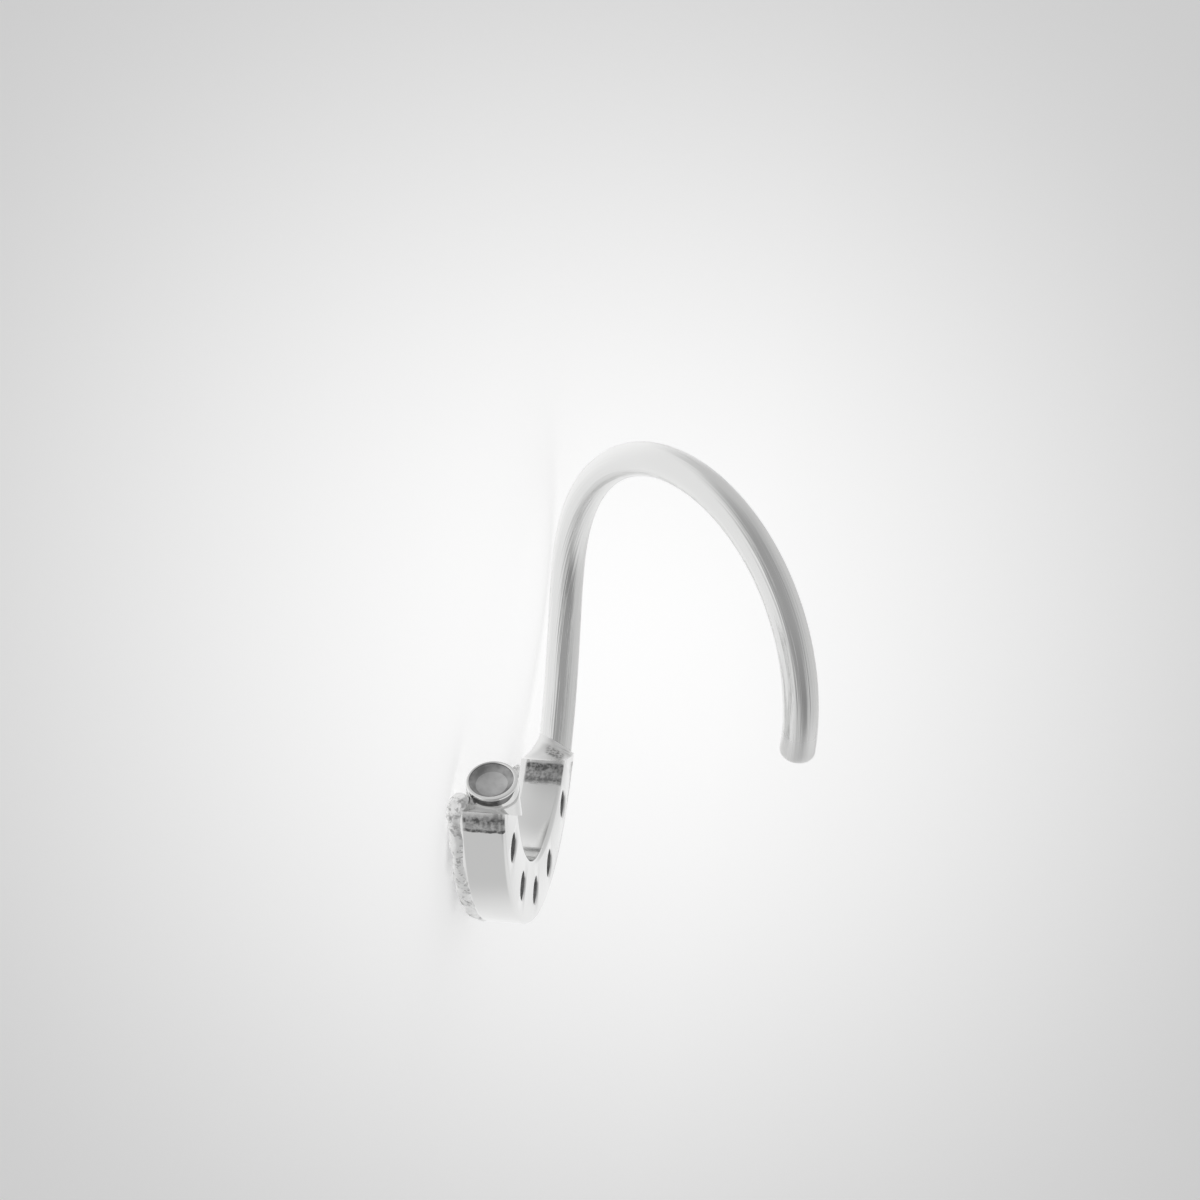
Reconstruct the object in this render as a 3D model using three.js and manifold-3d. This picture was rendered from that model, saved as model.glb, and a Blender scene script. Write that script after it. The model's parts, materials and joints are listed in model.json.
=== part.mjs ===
// A helix hoop earring of polished white metal, lying on its front, in millimetres, with +Z up.
// A half-ring band carries five round stones in a row. A round wire is soldered to one end
// of the band, arches over, and is bent open sideways. Its domed tip plugs into the socket
// at the band's other end when the hoop is worn.
//
// The pieces are shaped in the ring's own frame, and the whole hoop is laid down at the end.
// In the ring's frame X and Z lie in the plane of the ring, with its centre at 0 and the band
// at the bottom, and Y runs from the band's back (0) to its front. An angle on the ring is
// measured from the bottom (-Z) towards +X, where the wire is soldered.

import * as THREE from "three";
import { mergeVertices } from "three/addons/utils/BufferGeometryUtils.js";
import Module from "manifold-3d";

const wasm = await Module();
wasm.setup();

// Band
const RING_RADIUS = 5.0;
const BAND_WIDTH = 1.42;
const BAND_THICKNESS = 1.05;
const BACK_EDGE = 0.05; // the softened edges of the back
const FRONT_EDGE = { in: 0.07, down: 0.15 }; // the bright-cut edges of the front
const RING_STEPS = 120; // flats round the whole ring
const SOCKET_END = { height: -2.6, slope: 0 }; // where the band is cut, and by how many degrees
const WIRE_END = { height: -1.78, slope: 9 };

// Stones and their seats
const STONE_ANGLES = [58.5, 32, 8, -16, -40]; // degrees
const STONE_DIAMETER = 1.2;
const STONE_TABLE = 0.68; // width of the flat top
const STONE_CROWN = 0.2; // height above the widest line
const STONE_GIRDLE = 0.04; // thickness at the widest line
const STONE_PAVILION = 0.5; // depth of the point below it
const STONE_SIDES = 16;
const STONE_SUNK = 0.03; // the top of the girdle, below the band's front
const SEAT_GAP = 0.03; // between a stone and the metal
const HOLE_DIAMETER = 0.65; // behind each stone, right through
const BEAD_RADIUS = 0.15; // the four grains of metal that hold each stone
const BEAD_PROUD = 0.22; // above the band's front
const BEAD_REACH = 0.7; // from the middle of the stone
const BEAD_TURNS = [45, 135, 225, 315]; // degrees round the stone
const END_BEAD = { degrees: -59, radius: 4.78, y: 0.96, size: 0.25 }; // beside the socket

// Wire
const WIRE_DIAMETER = 0.8;
const WIRE_START = 79.5; // degrees
const WIRE_LENGTH = 18.5;
const WIRE_SUNK = 0.5; // length inside the band
const WIRE_INSET = 0.02; // from the band's outer wall and back
const WIRE_SIDES = 16;
const WIRE_STEPS = 84;
const TIP_LENGTH = 0.2; // the domed end
const TIP_STEPS = 5;
// How tightly the wire is bent along its length: 1 is the ring's own curve.
const WIRE_BENDS = [
  { along: 0, bend: 0.48 },
  { along: 0.25, bend: 1.03 },
  { along: 0.5, bend: 1.26 },
  { along: 0.75, bend: 1.09 },
  { along: 1, bend: 0.73 },
];
// The twist that opens the hoop: its degrees in all, the place where it is strongest and how
// far it reaches to either side, both as shares of the wire's length.
const TWIST = { total: 50.8, along: 0.236, reach: 0.203 };

// Socket: a short tube on the band's end, with a shallow cup for the wire's tip
const SOCKET_DIAMETER = 1.18;
const SOCKET_BORE = 0.92;
const SOCKET_BOTTOM = 0.64; // the cup narrows to this
const SOCKET_DEPTH = 0.2;
const SOCKET_STRAIGHT = 0.05; // depth where the cup starts to narrow
const SOCKET_LENGTH = 1.15;
const SOCKET_MOUTH = { x: -3.9, y: 0.42, z: -1.94 };
const SOCKET_PITCH = 40; // degrees that the mouth looks up from straight outwards

// Solder: it spreads from the wire and from the socket to the band, and never leaves its outline
const SOLDER_STEPS = 5;
const SOLDER_INSET = 0.01; // from the band's walls
const WIRE_SOLDER = { top: 0.32, bottom: -0.25, reach: 0.95 };
const SOCKET_SOLDER = { top: -0.4, bottom: -0.95, reach: 1.0 };

// The side of the ring that is down as it lies on two beads and on the shoulder of the wire
const DOWN = new THREE.Vector3(-0.01696, 0.99442, 0.10413);

const metal = new THREE.MeshStandardMaterial({ color: 0xe6e6e4, roughness: 0.12, metalness: 1 });
const crystal = new THREE.MeshStandardMaterial({ color: 0xf4f8fb, roughness: 0.02, metalness: 0 });

const rad = THREE.MathUtils.degToRad;
const lerp = THREE.MathUtils.lerp;
const FRONTWARDS = new THREE.Vector3(0, 1, 0);
const INNER_RADIUS = RING_RADIUS - BAND_WIDTH;
const BAND_MIDDLE = RING_RADIUS - BAND_WIDTH / 2;
const STONE_RADIUS = STONE_DIAMETER / 2;
const STONE_LEVEL = BAND_THICKNESS - STONE_SUNK;
const WIRE_RADIUS = WIRE_DIAMETER / 2;
const WIRE_RING = RING_RADIUS - WIRE_RADIUS - WIRE_INSET;
const WIRE_FOOT = ringPoint(WIRE_RING, WIRE_START, WIRE_RADIUS + WIRE_INSET);
const WIRE_AHEAD = new THREE.Vector3(Math.cos(rad(WIRE_START)), 0, Math.sin(rad(WIRE_START)));
const SOCKET_AHEAD = new THREE.Vector3(-Math.cos(rad(SOCKET_PITCH)), 0, Math.sin(rad(SOCKET_PITCH)));
const CLEAR = 1; // how far a cutter runs past what it cuts

function ringPoint(radius, degrees, y) {
  return new THREE.Vector3(radius * Math.sin(rad(degrees)), y, -radius * Math.cos(rad(degrees)));
}

// A closed three.js geometry as a solid that can be joined and cut.
function solidOf(geometry) {
  const bare = geometry.clone();
  bare.deleteAttribute("normal");
  bare.deleteAttribute("uv");
  const merged = mergeVertices(bare, 1e-5);
  return new wasm.Manifold(
    new wasm.Mesh({
      numProp: 3,
      vertProperties: new Float32Array(merged.attributes.position.array),
      triVerts: new Uint32Array(merged.index.array),
    }),
  );
}

function meshOf(name, solid, material) {
  const { vertProperties, triVerts } = solid.getMesh();
  const geometry = new THREE.BufferGeometry();
  geometry.setAttribute("position", new THREE.BufferAttribute(vertProperties, 3));
  geometry.setIndex(new THREE.BufferAttribute(triVerts, 1));
  geometry.computeVertexNormals();
  const mesh = new THREE.Mesh(geometry, material);
  mesh.name = name;
  return mesh;
}

// A turned solid: its profile of radii and heights stands at a point, along a direction.
function turned(profile, sides, at, direction) {
  const points = profile.map(([radius, height]) => new THREE.Vector2(radius, height));
  const geometry = new THREE.LatheGeometry(points, sides);
  geometry.applyQuaternion(new THREE.Quaternion().setFromUnitVectors(FRONTWARDS, direction));
  geometry.translate(at.x, at.y, at.z);
  return solidOf(geometry);
}

function ball(at, radius) {
  const sphere = new THREE.SphereGeometry(radius, 12, 8);
  sphere.translate(at.x, at.y, at.z);
  return solidOf(sphere);
}

// The whole ring with the band's section, drawn in by an inset all round.
function fullRing(inset) {
  const inner = INNER_RADIUS + inset;
  const outer = RING_RADIUS - inset;
  const front = BAND_THICKNESS - inset;
  const section = [
    [inner, inset + BACK_EDGE],
    [inner + BACK_EDGE, inset],
    [outer - BACK_EDGE, inset],
    [outer, inset + BACK_EDGE],
    [outer, front - FRONT_EDGE.down],
    [outer - FRONT_EDGE.in, front],
    [inner + FRONT_EDGE.in, front],
    [inner, front - FRONT_EDGE.down],
    [inner, inset + BACK_EDGE],
  ];
  return turned(section, RING_STEPS, new THREE.Vector3(), FRONTWARDS);
}

// Everything below the band's two end cuts, between two distances from its back.
function belowTheCuts(low, high) {
  const past = RING_RADIUS + CLEAR;
  const rise = (end, x) => end.height + Math.tan(rad(end.slope)) * x;
  const shape = new THREE.Shape([
    new THREE.Vector2(-past, -past),
    new THREE.Vector2(past, -past),
    new THREE.Vector2(past, rise(WIRE_END, past)),
    new THREE.Vector2(INNER_RADIUS / 2, rise(WIRE_END, INNER_RADIUS / 2)),
    new THREE.Vector2(-INNER_RADIUS / 2, rise(SOCKET_END, INNER_RADIUS / 2)),
    new THREE.Vector2(-past, rise(SOCKET_END, past)),
  ]);
  const geometry = new THREE.ExtrudeGeometry(shape, { depth: high - low, bevelEnabled: false });
  // The outline is drawn in X and Y, and stands up as X and Z.
  geometry.rotateX(Math.PI / 2);
  geometry.translate(0, high, 0);
  return solidOf(geometry);
}

function stonePlace(degrees) {
  return ringPoint(BAND_MIDDLE, degrees, STONE_LEVEL);
}

// A stone's own shape, or with a gap all round it to cut its place in the metal.
function stone(degrees, gap) {
  const profile = [
    [0, -STONE_GIRDLE - STONE_PAVILION - gap],
    [STONE_RADIUS + gap, -STONE_GIRDLE - gap],
    [STONE_RADIUS + gap, gap],
    [STONE_TABLE / 2 + gap, STONE_CROWN + gap],
    [0, STONE_CROWN + gap],
  ];
  return turned(profile, STONE_SIDES, stonePlace(degrees), FRONTWARDS);
}

// The seat follows the stone's underside, and a hole goes on through the band.
function seat(degrees) {
  const slope = STONE_PAVILION / STONE_RADIUS;
  const hole = HOLE_DIAMETER / 2;
  const wide = STONE_RADIUS + SEAT_GAP;
  const profile = [
    [0, -STONE_LEVEL - CLEAR],
    [hole, -STONE_LEVEL - CLEAR],
    [hole, -STONE_GIRDLE - SEAT_GAP - (wide - hole) * slope],
    [wide, -STONE_GIRDLE - SEAT_GAP],
    [wide, STONE_SUNK],
    [0, STONE_SUNK],
  ];
  return turned(profile, 24, stonePlace(degrees), FRONTWARDS);
}

function beadsRound(degrees) {
  return BEAD_TURNS.map((turn) => {
    const middle = ringPoint(BAND_MIDDLE, degrees, BAND_THICKNESS + BEAD_PROUD - BEAD_RADIUS);
    return ball(middle.add(ringPoint(BEAD_REACH, degrees + turn, 0)), BEAD_RADIUS);
  });
}

function band() {
  let made = fullRing(0).intersect(belowTheCuts(-CLEAR, BAND_THICKNESS + CLEAR));
  for (const bead of STONE_ANGLES.flatMap(beadsRound)) {
    made = made.add(bead);
  }
  return made.add(ball(ringPoint(END_BEAD.radius, END_BEAD.degrees, END_BEAD.y), END_BEAD.size));
}

function bendAt(along) {
  const next = WIRE_BENDS.findIndex((row) => row.along >= along);
  const [a, b] = [WIRE_BENDS[next - 1], WIRE_BENDS[next]];
  return THREE.MathUtils.mapLinear(along, a.along, b.along, a.bend, b.bend);
}

function twistAt(along) {
  const off = Math.min(Math.abs(along - TWIST.along) / TWIST.reach, 1);
  return ((TWIST.total / TWIST.reach) * (1 + Math.cos(Math.PI * off))) / 2;
}

// The wire's middle line is walked in short steps, each of which bends and twists it a little.
function wirePlaces() {
  const at = WIRE_FOOT.clone();
  const ahead = WIRE_AHEAD.clone();
  const inwards = new THREE.Vector3(-ahead.z, 0, ahead.x);
  const places = [at.clone().addScaledVector(ahead, -WIRE_SUNK), at.clone()];
  for (let step = 0; step < WIRE_STEPS; step += 1) {
    const along = (step + 0.5) / WIRE_STEPS;
    const hinge = new THREE.Vector3().crossVectors(ahead, inwards);
    const halfBend = ((bendAt(along) / WIRE_RING) * WIRE_LENGTH) / WIRE_STEPS / 2;
    ahead.applyAxisAngle(hinge, halfBend);
    at.addScaledVector(ahead, WIRE_LENGTH / WIRE_STEPS);
    ahead.applyAxisAngle(hinge, halfBend);
    inwards.applyAxisAngle(hinge, 2 * halfBend);
    inwards.applyAxisAngle(ahead, rad(twistAt(along)) / WIRE_STEPS);
    places.push(at.clone());
  }
  return places;
}

// A curve that goes straight from place to place, and passes each at an even share.
class Route extends THREE.Curve {
  constructor(places) {
    super();
    this.places = places;
  }

  getPoint(share, target = new THREE.Vector3()) {
    const last = this.places.length - 1;
    const before = Math.min(Math.floor(share * last), last - 1);
    return target.lerpVectors(this.places[before], this.places[before + 1], share * last - before);
  }
}

function wire() {
  const places = wirePlaces();
  const section = new THREE.Shape().absarc(0, 0, WIRE_RADIUS, 0, 2 * Math.PI, false);
  const tube = new THREE.ExtrudeGeometry(section, {
    steps: places.length - 1,
    extrudePath: new Route(places),
    bevelEnabled: false,
    curveSegments: WIRE_SIDES / 2,
  });
  const dome = [
    [0, -TIP_LENGTH],
    [WIRE_RADIUS, -TIP_LENGTH],
  ];
  for (let step = 0; step < TIP_STEPS; step += 1) {
    const angle = (step / TIP_STEPS) * (Math.PI / 2);
    dome.push([WIRE_RADIUS * Math.cos(angle), TIP_LENGTH * Math.sin(angle)]);
  }
  dome.push([0, TIP_LENGTH]);
  const [before, tip] = places.slice(-2);
  const ahead = tip.clone().sub(before).normalize();
  return solidOf(tube).add(turned(dome, WIRE_SIDES, tip, ahead));
}

// Solder that climbs a round piece in a hollow curve and spreads out towards the band.
function solder(spread, radius, at, ahead) {
  const profile = [
    [0, spread.bottom - CLEAR / 2],
    [spread.reach, spread.bottom - CLEAR / 2],
  ];
  for (let step = 0; step <= SOLDER_STEPS; step += 1) {
    const share = step / SOLDER_STEPS;
    const flare = lerp(radius, spread.reach, (1 - share) ** 1.5);
    profile.push([flare, lerp(spread.bottom, spread.top, share)]);
  }
  profile.push([0, spread.top]);
  return turned(profile, 24, at, ahead).intersect(fullRing(SOLDER_INSET));
}

function socketTube() {
  const radius = SOCKET_DIAMETER / 2;
  const profile = [
    [0, -SOCKET_LENGTH],
    [radius, -SOCKET_LENGTH],
    [radius, 0],
    [0, 0],
  ];
  return turned(profile, 24, SOCKET_MOUTH, SOCKET_AHEAD).subtract(belowTheCuts(-CLEAR, 0));
}

function socketCup() {
  const profile = [
    [0, -SOCKET_DEPTH],
    [SOCKET_BOTTOM / 2, -SOCKET_DEPTH],
    [SOCKET_BORE / 2, -SOCKET_STRAIGHT],
    [SOCKET_BORE / 2, CLEAR],
    [0, CLEAR],
  ];
  return turned(profile, 24, SOCKET_MOUTH, SOCKET_AHEAD);
}

// All the metal is soldered into one piece, and the seats are cut last.
function solderedHoop() {
  const joined = band()
    .add(wire())
    .add(solder(WIRE_SOLDER, WIRE_RADIUS, WIRE_FOOT, WIRE_AHEAD))
    .add(socketTube())
    .add(solder(SOCKET_SOLDER, SOCKET_DIAMETER / 2, SOCKET_MOUTH, SOCKET_AHEAD))
    .subtract(socketCup());
  return STONE_ANGLES.reduce(
    (cut, degrees) => cut.subtract(seat(degrees)).subtract(stone(degrees, SEAT_GAP)),
    joined,
  );
}

// Turns the hoop so that a side of the ring is down, with the ring's own +Z along +X, and puts
// its lowest point on the floor and the middle of its box over the origin.
function layDown(group, side) {
  const floorwards = new THREE.Vector3(0, 0, -1);
  const lay = new THREE.Quaternion().setFromUnitVectors(side.clone().normalize(), floorwards);
  group.quaternion.setFromAxisAngle(floorwards, Math.PI / 2).multiply(lay);
  const box = new THREE.Box3().setFromObject(group, true);
  const middle = box.getCenter(new THREE.Vector3());
  group.position.set(-middle.x, -middle.y, -box.min.z);
}

const hoop = new THREE.Group();
hoop.add(meshOf("soldered_hoop", solderedHoop(), metal));
STONE_ANGLES.forEach((degrees, i) => {
  hoop.add(meshOf(`stone_${i + 1}`, stone(degrees, 0), crystal));
});
layDown(hoop, DOWN);

export default hoop;
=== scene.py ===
# %% [markdown]
# # A helix hoop earring
# This script builds the looks of a small open hoop for the ear. A half-ring band of white gold
# carries five stones in a row. A round wire is soldered to one end of the band, arches over and
# is bent open, and a short socket on the other end takes the wire's tip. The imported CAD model
# comes first, because every piece here is made to fit it.

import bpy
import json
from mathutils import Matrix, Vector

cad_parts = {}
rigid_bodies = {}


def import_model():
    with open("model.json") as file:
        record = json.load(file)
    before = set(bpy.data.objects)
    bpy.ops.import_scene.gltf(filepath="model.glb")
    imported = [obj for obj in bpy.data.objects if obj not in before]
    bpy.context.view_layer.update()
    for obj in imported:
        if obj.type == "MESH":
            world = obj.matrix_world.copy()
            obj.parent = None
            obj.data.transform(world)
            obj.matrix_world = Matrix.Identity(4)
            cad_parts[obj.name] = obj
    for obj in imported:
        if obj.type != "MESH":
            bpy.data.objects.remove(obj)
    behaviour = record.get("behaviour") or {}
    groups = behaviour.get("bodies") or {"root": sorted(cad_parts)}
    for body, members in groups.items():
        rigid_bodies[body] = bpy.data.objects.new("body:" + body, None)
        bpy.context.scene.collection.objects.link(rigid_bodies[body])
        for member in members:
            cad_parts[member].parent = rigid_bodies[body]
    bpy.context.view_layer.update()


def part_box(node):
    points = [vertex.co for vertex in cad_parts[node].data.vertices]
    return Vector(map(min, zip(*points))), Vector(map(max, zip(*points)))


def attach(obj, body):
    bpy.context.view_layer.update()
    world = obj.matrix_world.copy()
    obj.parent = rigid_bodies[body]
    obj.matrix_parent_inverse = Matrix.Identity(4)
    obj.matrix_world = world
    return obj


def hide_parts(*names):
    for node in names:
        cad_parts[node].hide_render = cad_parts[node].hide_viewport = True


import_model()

# %% [markdown]
# ## Where the hoop lies
# The hoop is drawn in its own plain frame and then laid down on its front, as on a table, where it
# rests on two of its beads and on the shoulder of the wire. In the ring's frame X and Z lie in the
# plane of the ring with its centre at 0, the band is at the bottom, and Y runs from the band's back
# to its front. Modelling there keeps every curve a simple turn about the Y axis. Lengths are in
# millimetres until a piece is finished.

# %% Tools and units
import json
import math

import bmesh
import bpy
from mathutils import Matrix, Quaternion, Vector, noise

MM = 0.001
DENT_SEED = 5  # the modelled dents come out alike each time
noise.seed_set(DENT_SEED)
RING_AXIS = Vector((0, 1, 0))
FLOORWARDS = Vector((0, 0, -1))
DOWN = Vector((-0.01696, 0.99442, 0.10413))  # the side of the ring that faces the floor


def ring_point(radius, degrees, y=0.0):
    """A point of the ring's frame. The angle starts at the bottom and turns towards the wire."""
    angle = math.radians(degrees)
    return Vector((radius * math.sin(angle), y, -radius * math.cos(angle)))


print("the ring lies", round(math.degrees(DOWN.angle(RING_AXIS)), 1), "degrees off flat on its front")

# %% [markdown]
# The stones of the CAD model say where the ring ended up. The middle of a stone's box is over its
# widest line, and the top of its box is its point, so five stones give the place five times. The
# five answers should agree, and the spread that is printed shows how well they do.

# %% The ring's frame in the world
RING_RADIUS = 5.0
BAND_WIDTH = 1.42
BAND_THICKNESS = 1.05
BAND_MIDDLE = RING_RADIUS - BAND_WIDTH / 2
INNER_RADIUS = RING_RADIUS - BAND_WIDTH

STONE_ANGLES = [58.5, 32, 8, -16, -40]
STONE_DIAMETER = 1.2
STONE_CROWN = 0.2
STONE_GIRDLE = 0.04
STONE_PAVILION = 0.5
STONE_SUNK = 0.03
STONE_LEVEL = BAND_THICKNESS - STONE_SUNK

LAID = Quaternion(FLOORWARDS, math.pi / 2) @ DOWN.rotation_difference(FLOORWARDS)
places = []
for number, degrees in enumerate(STONE_ANGLES, 1):
    low, high = (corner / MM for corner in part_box(f"stone_{number}"))
    girdle = LAID @ ring_point(BAND_MIDDLE, degrees, STONE_LEVEL - STONE_GIRDLE / 2)
    culet = LAID @ ring_point(BAND_MIDDLE, degrees, STONE_LEVEL - STONE_GIRDLE - STONE_PAVILION)
    middle = (low + high) / 2
    places.append(Vector((middle.x - girdle.x, middle.y - girdle.y, high.z - culet.z)))
ring_centre = sum(places, Vector()) / len(places)
spread = max((place - ring_centre).length for place in places)
RING_TO_WORLD = Matrix.Scale(MM, 4) @ Matrix.Translation(ring_centre) @ LAID.to_matrix().to_4x4()
print("ring centre", [round(x, 4) for x in ring_centre], "mm, spread", round(spread, 4), "mm")

# %% [markdown]
# ## The camera
# The camera comes before the pieces, so that each one can be judged as it is made. It looks at
# the hoop along the floor, a little from above, and is turned on its side so that the arch of the
# wire is at the top of the picture. The lens is long and stands 60 mm away, so the near side of the
# ring comes out only a little larger than its far side. The default clipping starts beyond such a
# small scene, so it is set to start at one millimetre.

# %% Camera
CAMERA_AT = Vector((-3.326, 58.793, 9.802)) * MM
LOOK_AT = Vector((1.910, 0.0, 1.796)) * MM
CAMERA_ROLL = math.radians(4.14)
FOCAL_LENGTH = 78.69  # mm, on a sensor 36 mm wide


def make_camera():
    data = bpy.data.cameras.new("camera")
    data.lens = FOCAL_LENGTH
    data.clip_start = MM
    data.clip_end = 1000 * MM
    camera = bpy.data.objects.new("camera", data)
    bpy.context.scene.collection.objects.link(camera)
    back = (CAMERA_AT - LOOK_AT).normalized()
    ring_up = LAID @ Vector((0, 0, 1))
    up = (ring_up - ring_up.project(back)).normalized()
    axes = Matrix((up.cross(back), up, back)).transposed()
    rolled = axes @ Matrix.Rotation(CAMERA_ROLL, 3, "Z")
    camera.matrix_world = Matrix.Translation(CAMERA_AT) @ rolled.to_4x4()
    bpy.context.scene.camera = camera
    return camera


camera = make_camera()
print("camera up", [round(x, 4) for x in camera.matrix_world.col[1][:3]])

# %% [markdown]
# ## Working with meshes
# Each piece is shaped as a bmesh in the ring's frame and finished in the same way: doubles are
# merged, faces turned outwards, the mesh is set down in the world, and edges sharper than a given
# angle stay crisp while the rest is shaded smooth. The object itself stays at the origin, so
# Object coordinates are the world's, and a weighted normal modifier keeps flat faces flat beside
# their rounded edges.

# %% A finished piece
DOUBLES = 1e-4  # mm, or metres for the wide card
SHARP_FROM = 38  # degrees between two faces


def make_piece(name, bm, finishes, sharp_degrees=SHARP_FROM):
    bmesh.ops.remove_doubles(bm, verts=bm.verts, dist=DOUBLES)
    bmesh.ops.recalc_face_normals(bm, faces=bm.faces)
    bmesh.ops.transform(bm, matrix=RING_TO_WORLD, verts=bm.verts)
    for face in bm.faces:
        face.smooth = True
    for edge in bm.edges:
        edge.smooth = edge.calc_face_angle(0) < math.radians(sharp_degrees)
    open_edges = sum(not edge.is_manifold for edge in bm.edges)
    mesh = bpy.data.meshes.new(name)
    bm.to_mesh(mesh)
    bm.free()
    for finish in finishes:
        mesh.materials.append(finish)
    piece = bpy.data.objects.new(name, mesh)
    bpy.context.scene.collection.objects.link(piece)
    weighted = piece.modifiers.new("flat faces stay flat", "WEIGHTED_NORMAL")
    weighted.keep_sharp = True
    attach(piece, "root")
    print(name, "has", len(mesh.polygons), "faces and", open_edges, "open edges")
    return piece


# %% [markdown]
# A few ways of shaping metal are helpers of their own. A bevel breaks an edge. An outline that is
# spun all the way round a line gives anything that a lathe or a drill would make. A wire or a
# skirt grows from an open ring of edges, which is extruded in place and then moved. And a cutter
# takes its own shape out of a piece with an exact boolean.

# %% Helpers for shaping
def bevel(bm, edges, size, segments):
    bmesh.ops.bevel(
        bm,
        geom=list(edges),
        offset=size,
        segments=segments,
        profile=0.5,
        affect="EDGES",
        clamp_overlap=True,
        material=-1,
    )


def spun(bm, points, at, axis, steps):
    """Spins a line of points once round an axis, and gives the vertices that this makes."""
    before = set(bm.verts)
    corners = [bm.verts.new(point) for point in points]
    edges = [bm.edges.new(pair) for pair in zip(corners, corners[1:])]
    bmesh.ops.spin(
        bm,
        geom=corners + edges,
        cent=at,
        axis=axis,
        angle=2 * math.pi,
        steps=steps,
        use_merge=True,
    )
    made = [v for v in bm.verts if v not in before]
    bmesh.ops.remove_doubles(bm, verts=made, dist=DOUBLES)
    return [v for v in made if v.is_valid]


def turned(bm, profile, at, direction=RING_AXIS, steps=48):
    """Spins a profile of (radius, height) round a line that starts at a point."""
    lean = RING_AXIS.rotation_difference(direction)
    points = [at + lean @ Vector((radius, height, 0)) for radius, height in profile]
    return spun(bm, points, at, direction, steps)


def next_ring(bm, edges):
    """Extrudes an open ring in place, and gives the new ring's vertices and edges."""
    made = bmesh.ops.extrude_edge_only(bm, edges=edges)["geom"]
    ring = [part for part in made if isinstance(part, bmesh.types.BMVert)]
    loop = [part for part in made if isinstance(part, bmesh.types.BMEdge)]
    return ring, [edge for edge in loop if all(vert in ring for vert in edge.verts)]


def cut_out(bm, cutter):
    """Takes a closed bmesh out of another, and gives back a new bmesh."""
    objects = []
    for part in (bm, cutter):
        bmesh.ops.recalc_face_normals(part, faces=part.faces)
        mesh = bpy.data.meshes.new("part")
        part.to_mesh(mesh)
        part.free()
        objects.append(bpy.data.objects.new("part", mesh))
        bpy.context.scene.collection.objects.link(objects[-1])
    boolean = objects[0].modifiers.new("boolean", "BOOLEAN")
    boolean.object = objects[1]
    boolean.operation = "DIFFERENCE"
    boolean.solver = "EXACT"
    made = bmesh.new()
    made.from_object(objects[0], bpy.context.evaluated_depsgraph_get())
    for part in objects:
        bpy.data.objects.remove(part)
    return made


# %% [markdown]
# ## The band
# On the real hoop the band is a flat half ring, sawn and filed from plate, with bright-cut edges
# on its front. It could be a curve with a bevel object, but a profile that is spun round the
# ring's axis keeps exact radii and gives clean rows of faces. Its ends are then cut by planes,
# which is what a saw does, and the long edges of the back get the soft round of a polishing wheel.

# %% Band body
BRIGHT_CUT = {"in": 0.07, "down": 0.15}  # mm, the two flats that break the front edges
CHANNEL = {"edge": 0.2, "deep": 0.07}  # the front slopes down to the stones between its rims
BACK_ROUND = 0.09
EDGE_ROUND = 0.02
EDGE_SEGMENTS = 2
ROUNDED_FROM = 20  # degrees between two faces: front edges that are sharper get the round
SOCKET_END = {"height": -2.6, "slope": 0}  # the saw cuts: mm and degrees
WIRE_END = {"height": -1.78, "slope": 9}
BAND_SPAN = (-64, 84)  # degrees, a little past both cuts
BAND_STEPS = 148


def quarter_round(middle, radius, start, steps=4):
    """Points of a quarter circle that starts at an angle in degrees."""
    turns = [math.radians(start + 90 * step / steps) for step in range(steps + 1)]
    return [(middle[0] + radius * math.cos(t), middle[1] + radius * math.sin(t)) for t in turns]


def band_profile():
    inner, outer, front = INNER_RADIUS, RING_RADIUS, BAND_THICKNESS
    shoulder = front - BRIGHT_CUT["down"]
    floor = front - CHANNEL["deep"]
    return [
        *quarter_round((inner + BACK_ROUND, BACK_ROUND), BACK_ROUND, 180),
        *quarter_round((outer - BACK_ROUND, BACK_ROUND), BACK_ROUND, 270),
        (outer, shoulder),
        (outer - BRIGHT_CUT["in"], front),
        (outer - CHANNEL["edge"], floor),
        (inner + CHANNEL["edge"], floor),
        (inner + BRIGHT_CUT["in"], front),
        (inner, shoulder),
    ]


def cut_normal(end):
    """The way that a saw cut faces. With a slope of 0 that is straight up."""
    slope = math.radians(end["slope"])
    return Vector((-math.sin(slope), 0, math.cos(slope)))


def saw_off(bm, side, end):
    """Cuts the band above a sloping plane, on one side of the ring, and closes the cut."""
    near = [f for f in bm.faces if side * f.calc_center_median().x > 0]
    geometry = dict.fromkeys(near)  # a dict keeps its order, so each run cuts alike
    for face in near:
        geometry.update(dict.fromkeys(face.edges))
        geometry.update(dict.fromkeys(face.verts))
    cut = bmesh.ops.bisect_plane(
        bm,
        geom=list(geometry),
        plane_co=(0, 0, end["height"]),
        plane_no=cut_normal(end),
        clear_outer=True,
    )
    rim = [e for e in cut["geom_cut"] if isinstance(e, bmesh.types.BMEdge)]
    bmesh.ops.holes_fill(bm, edges=rim, sides=0)


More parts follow.
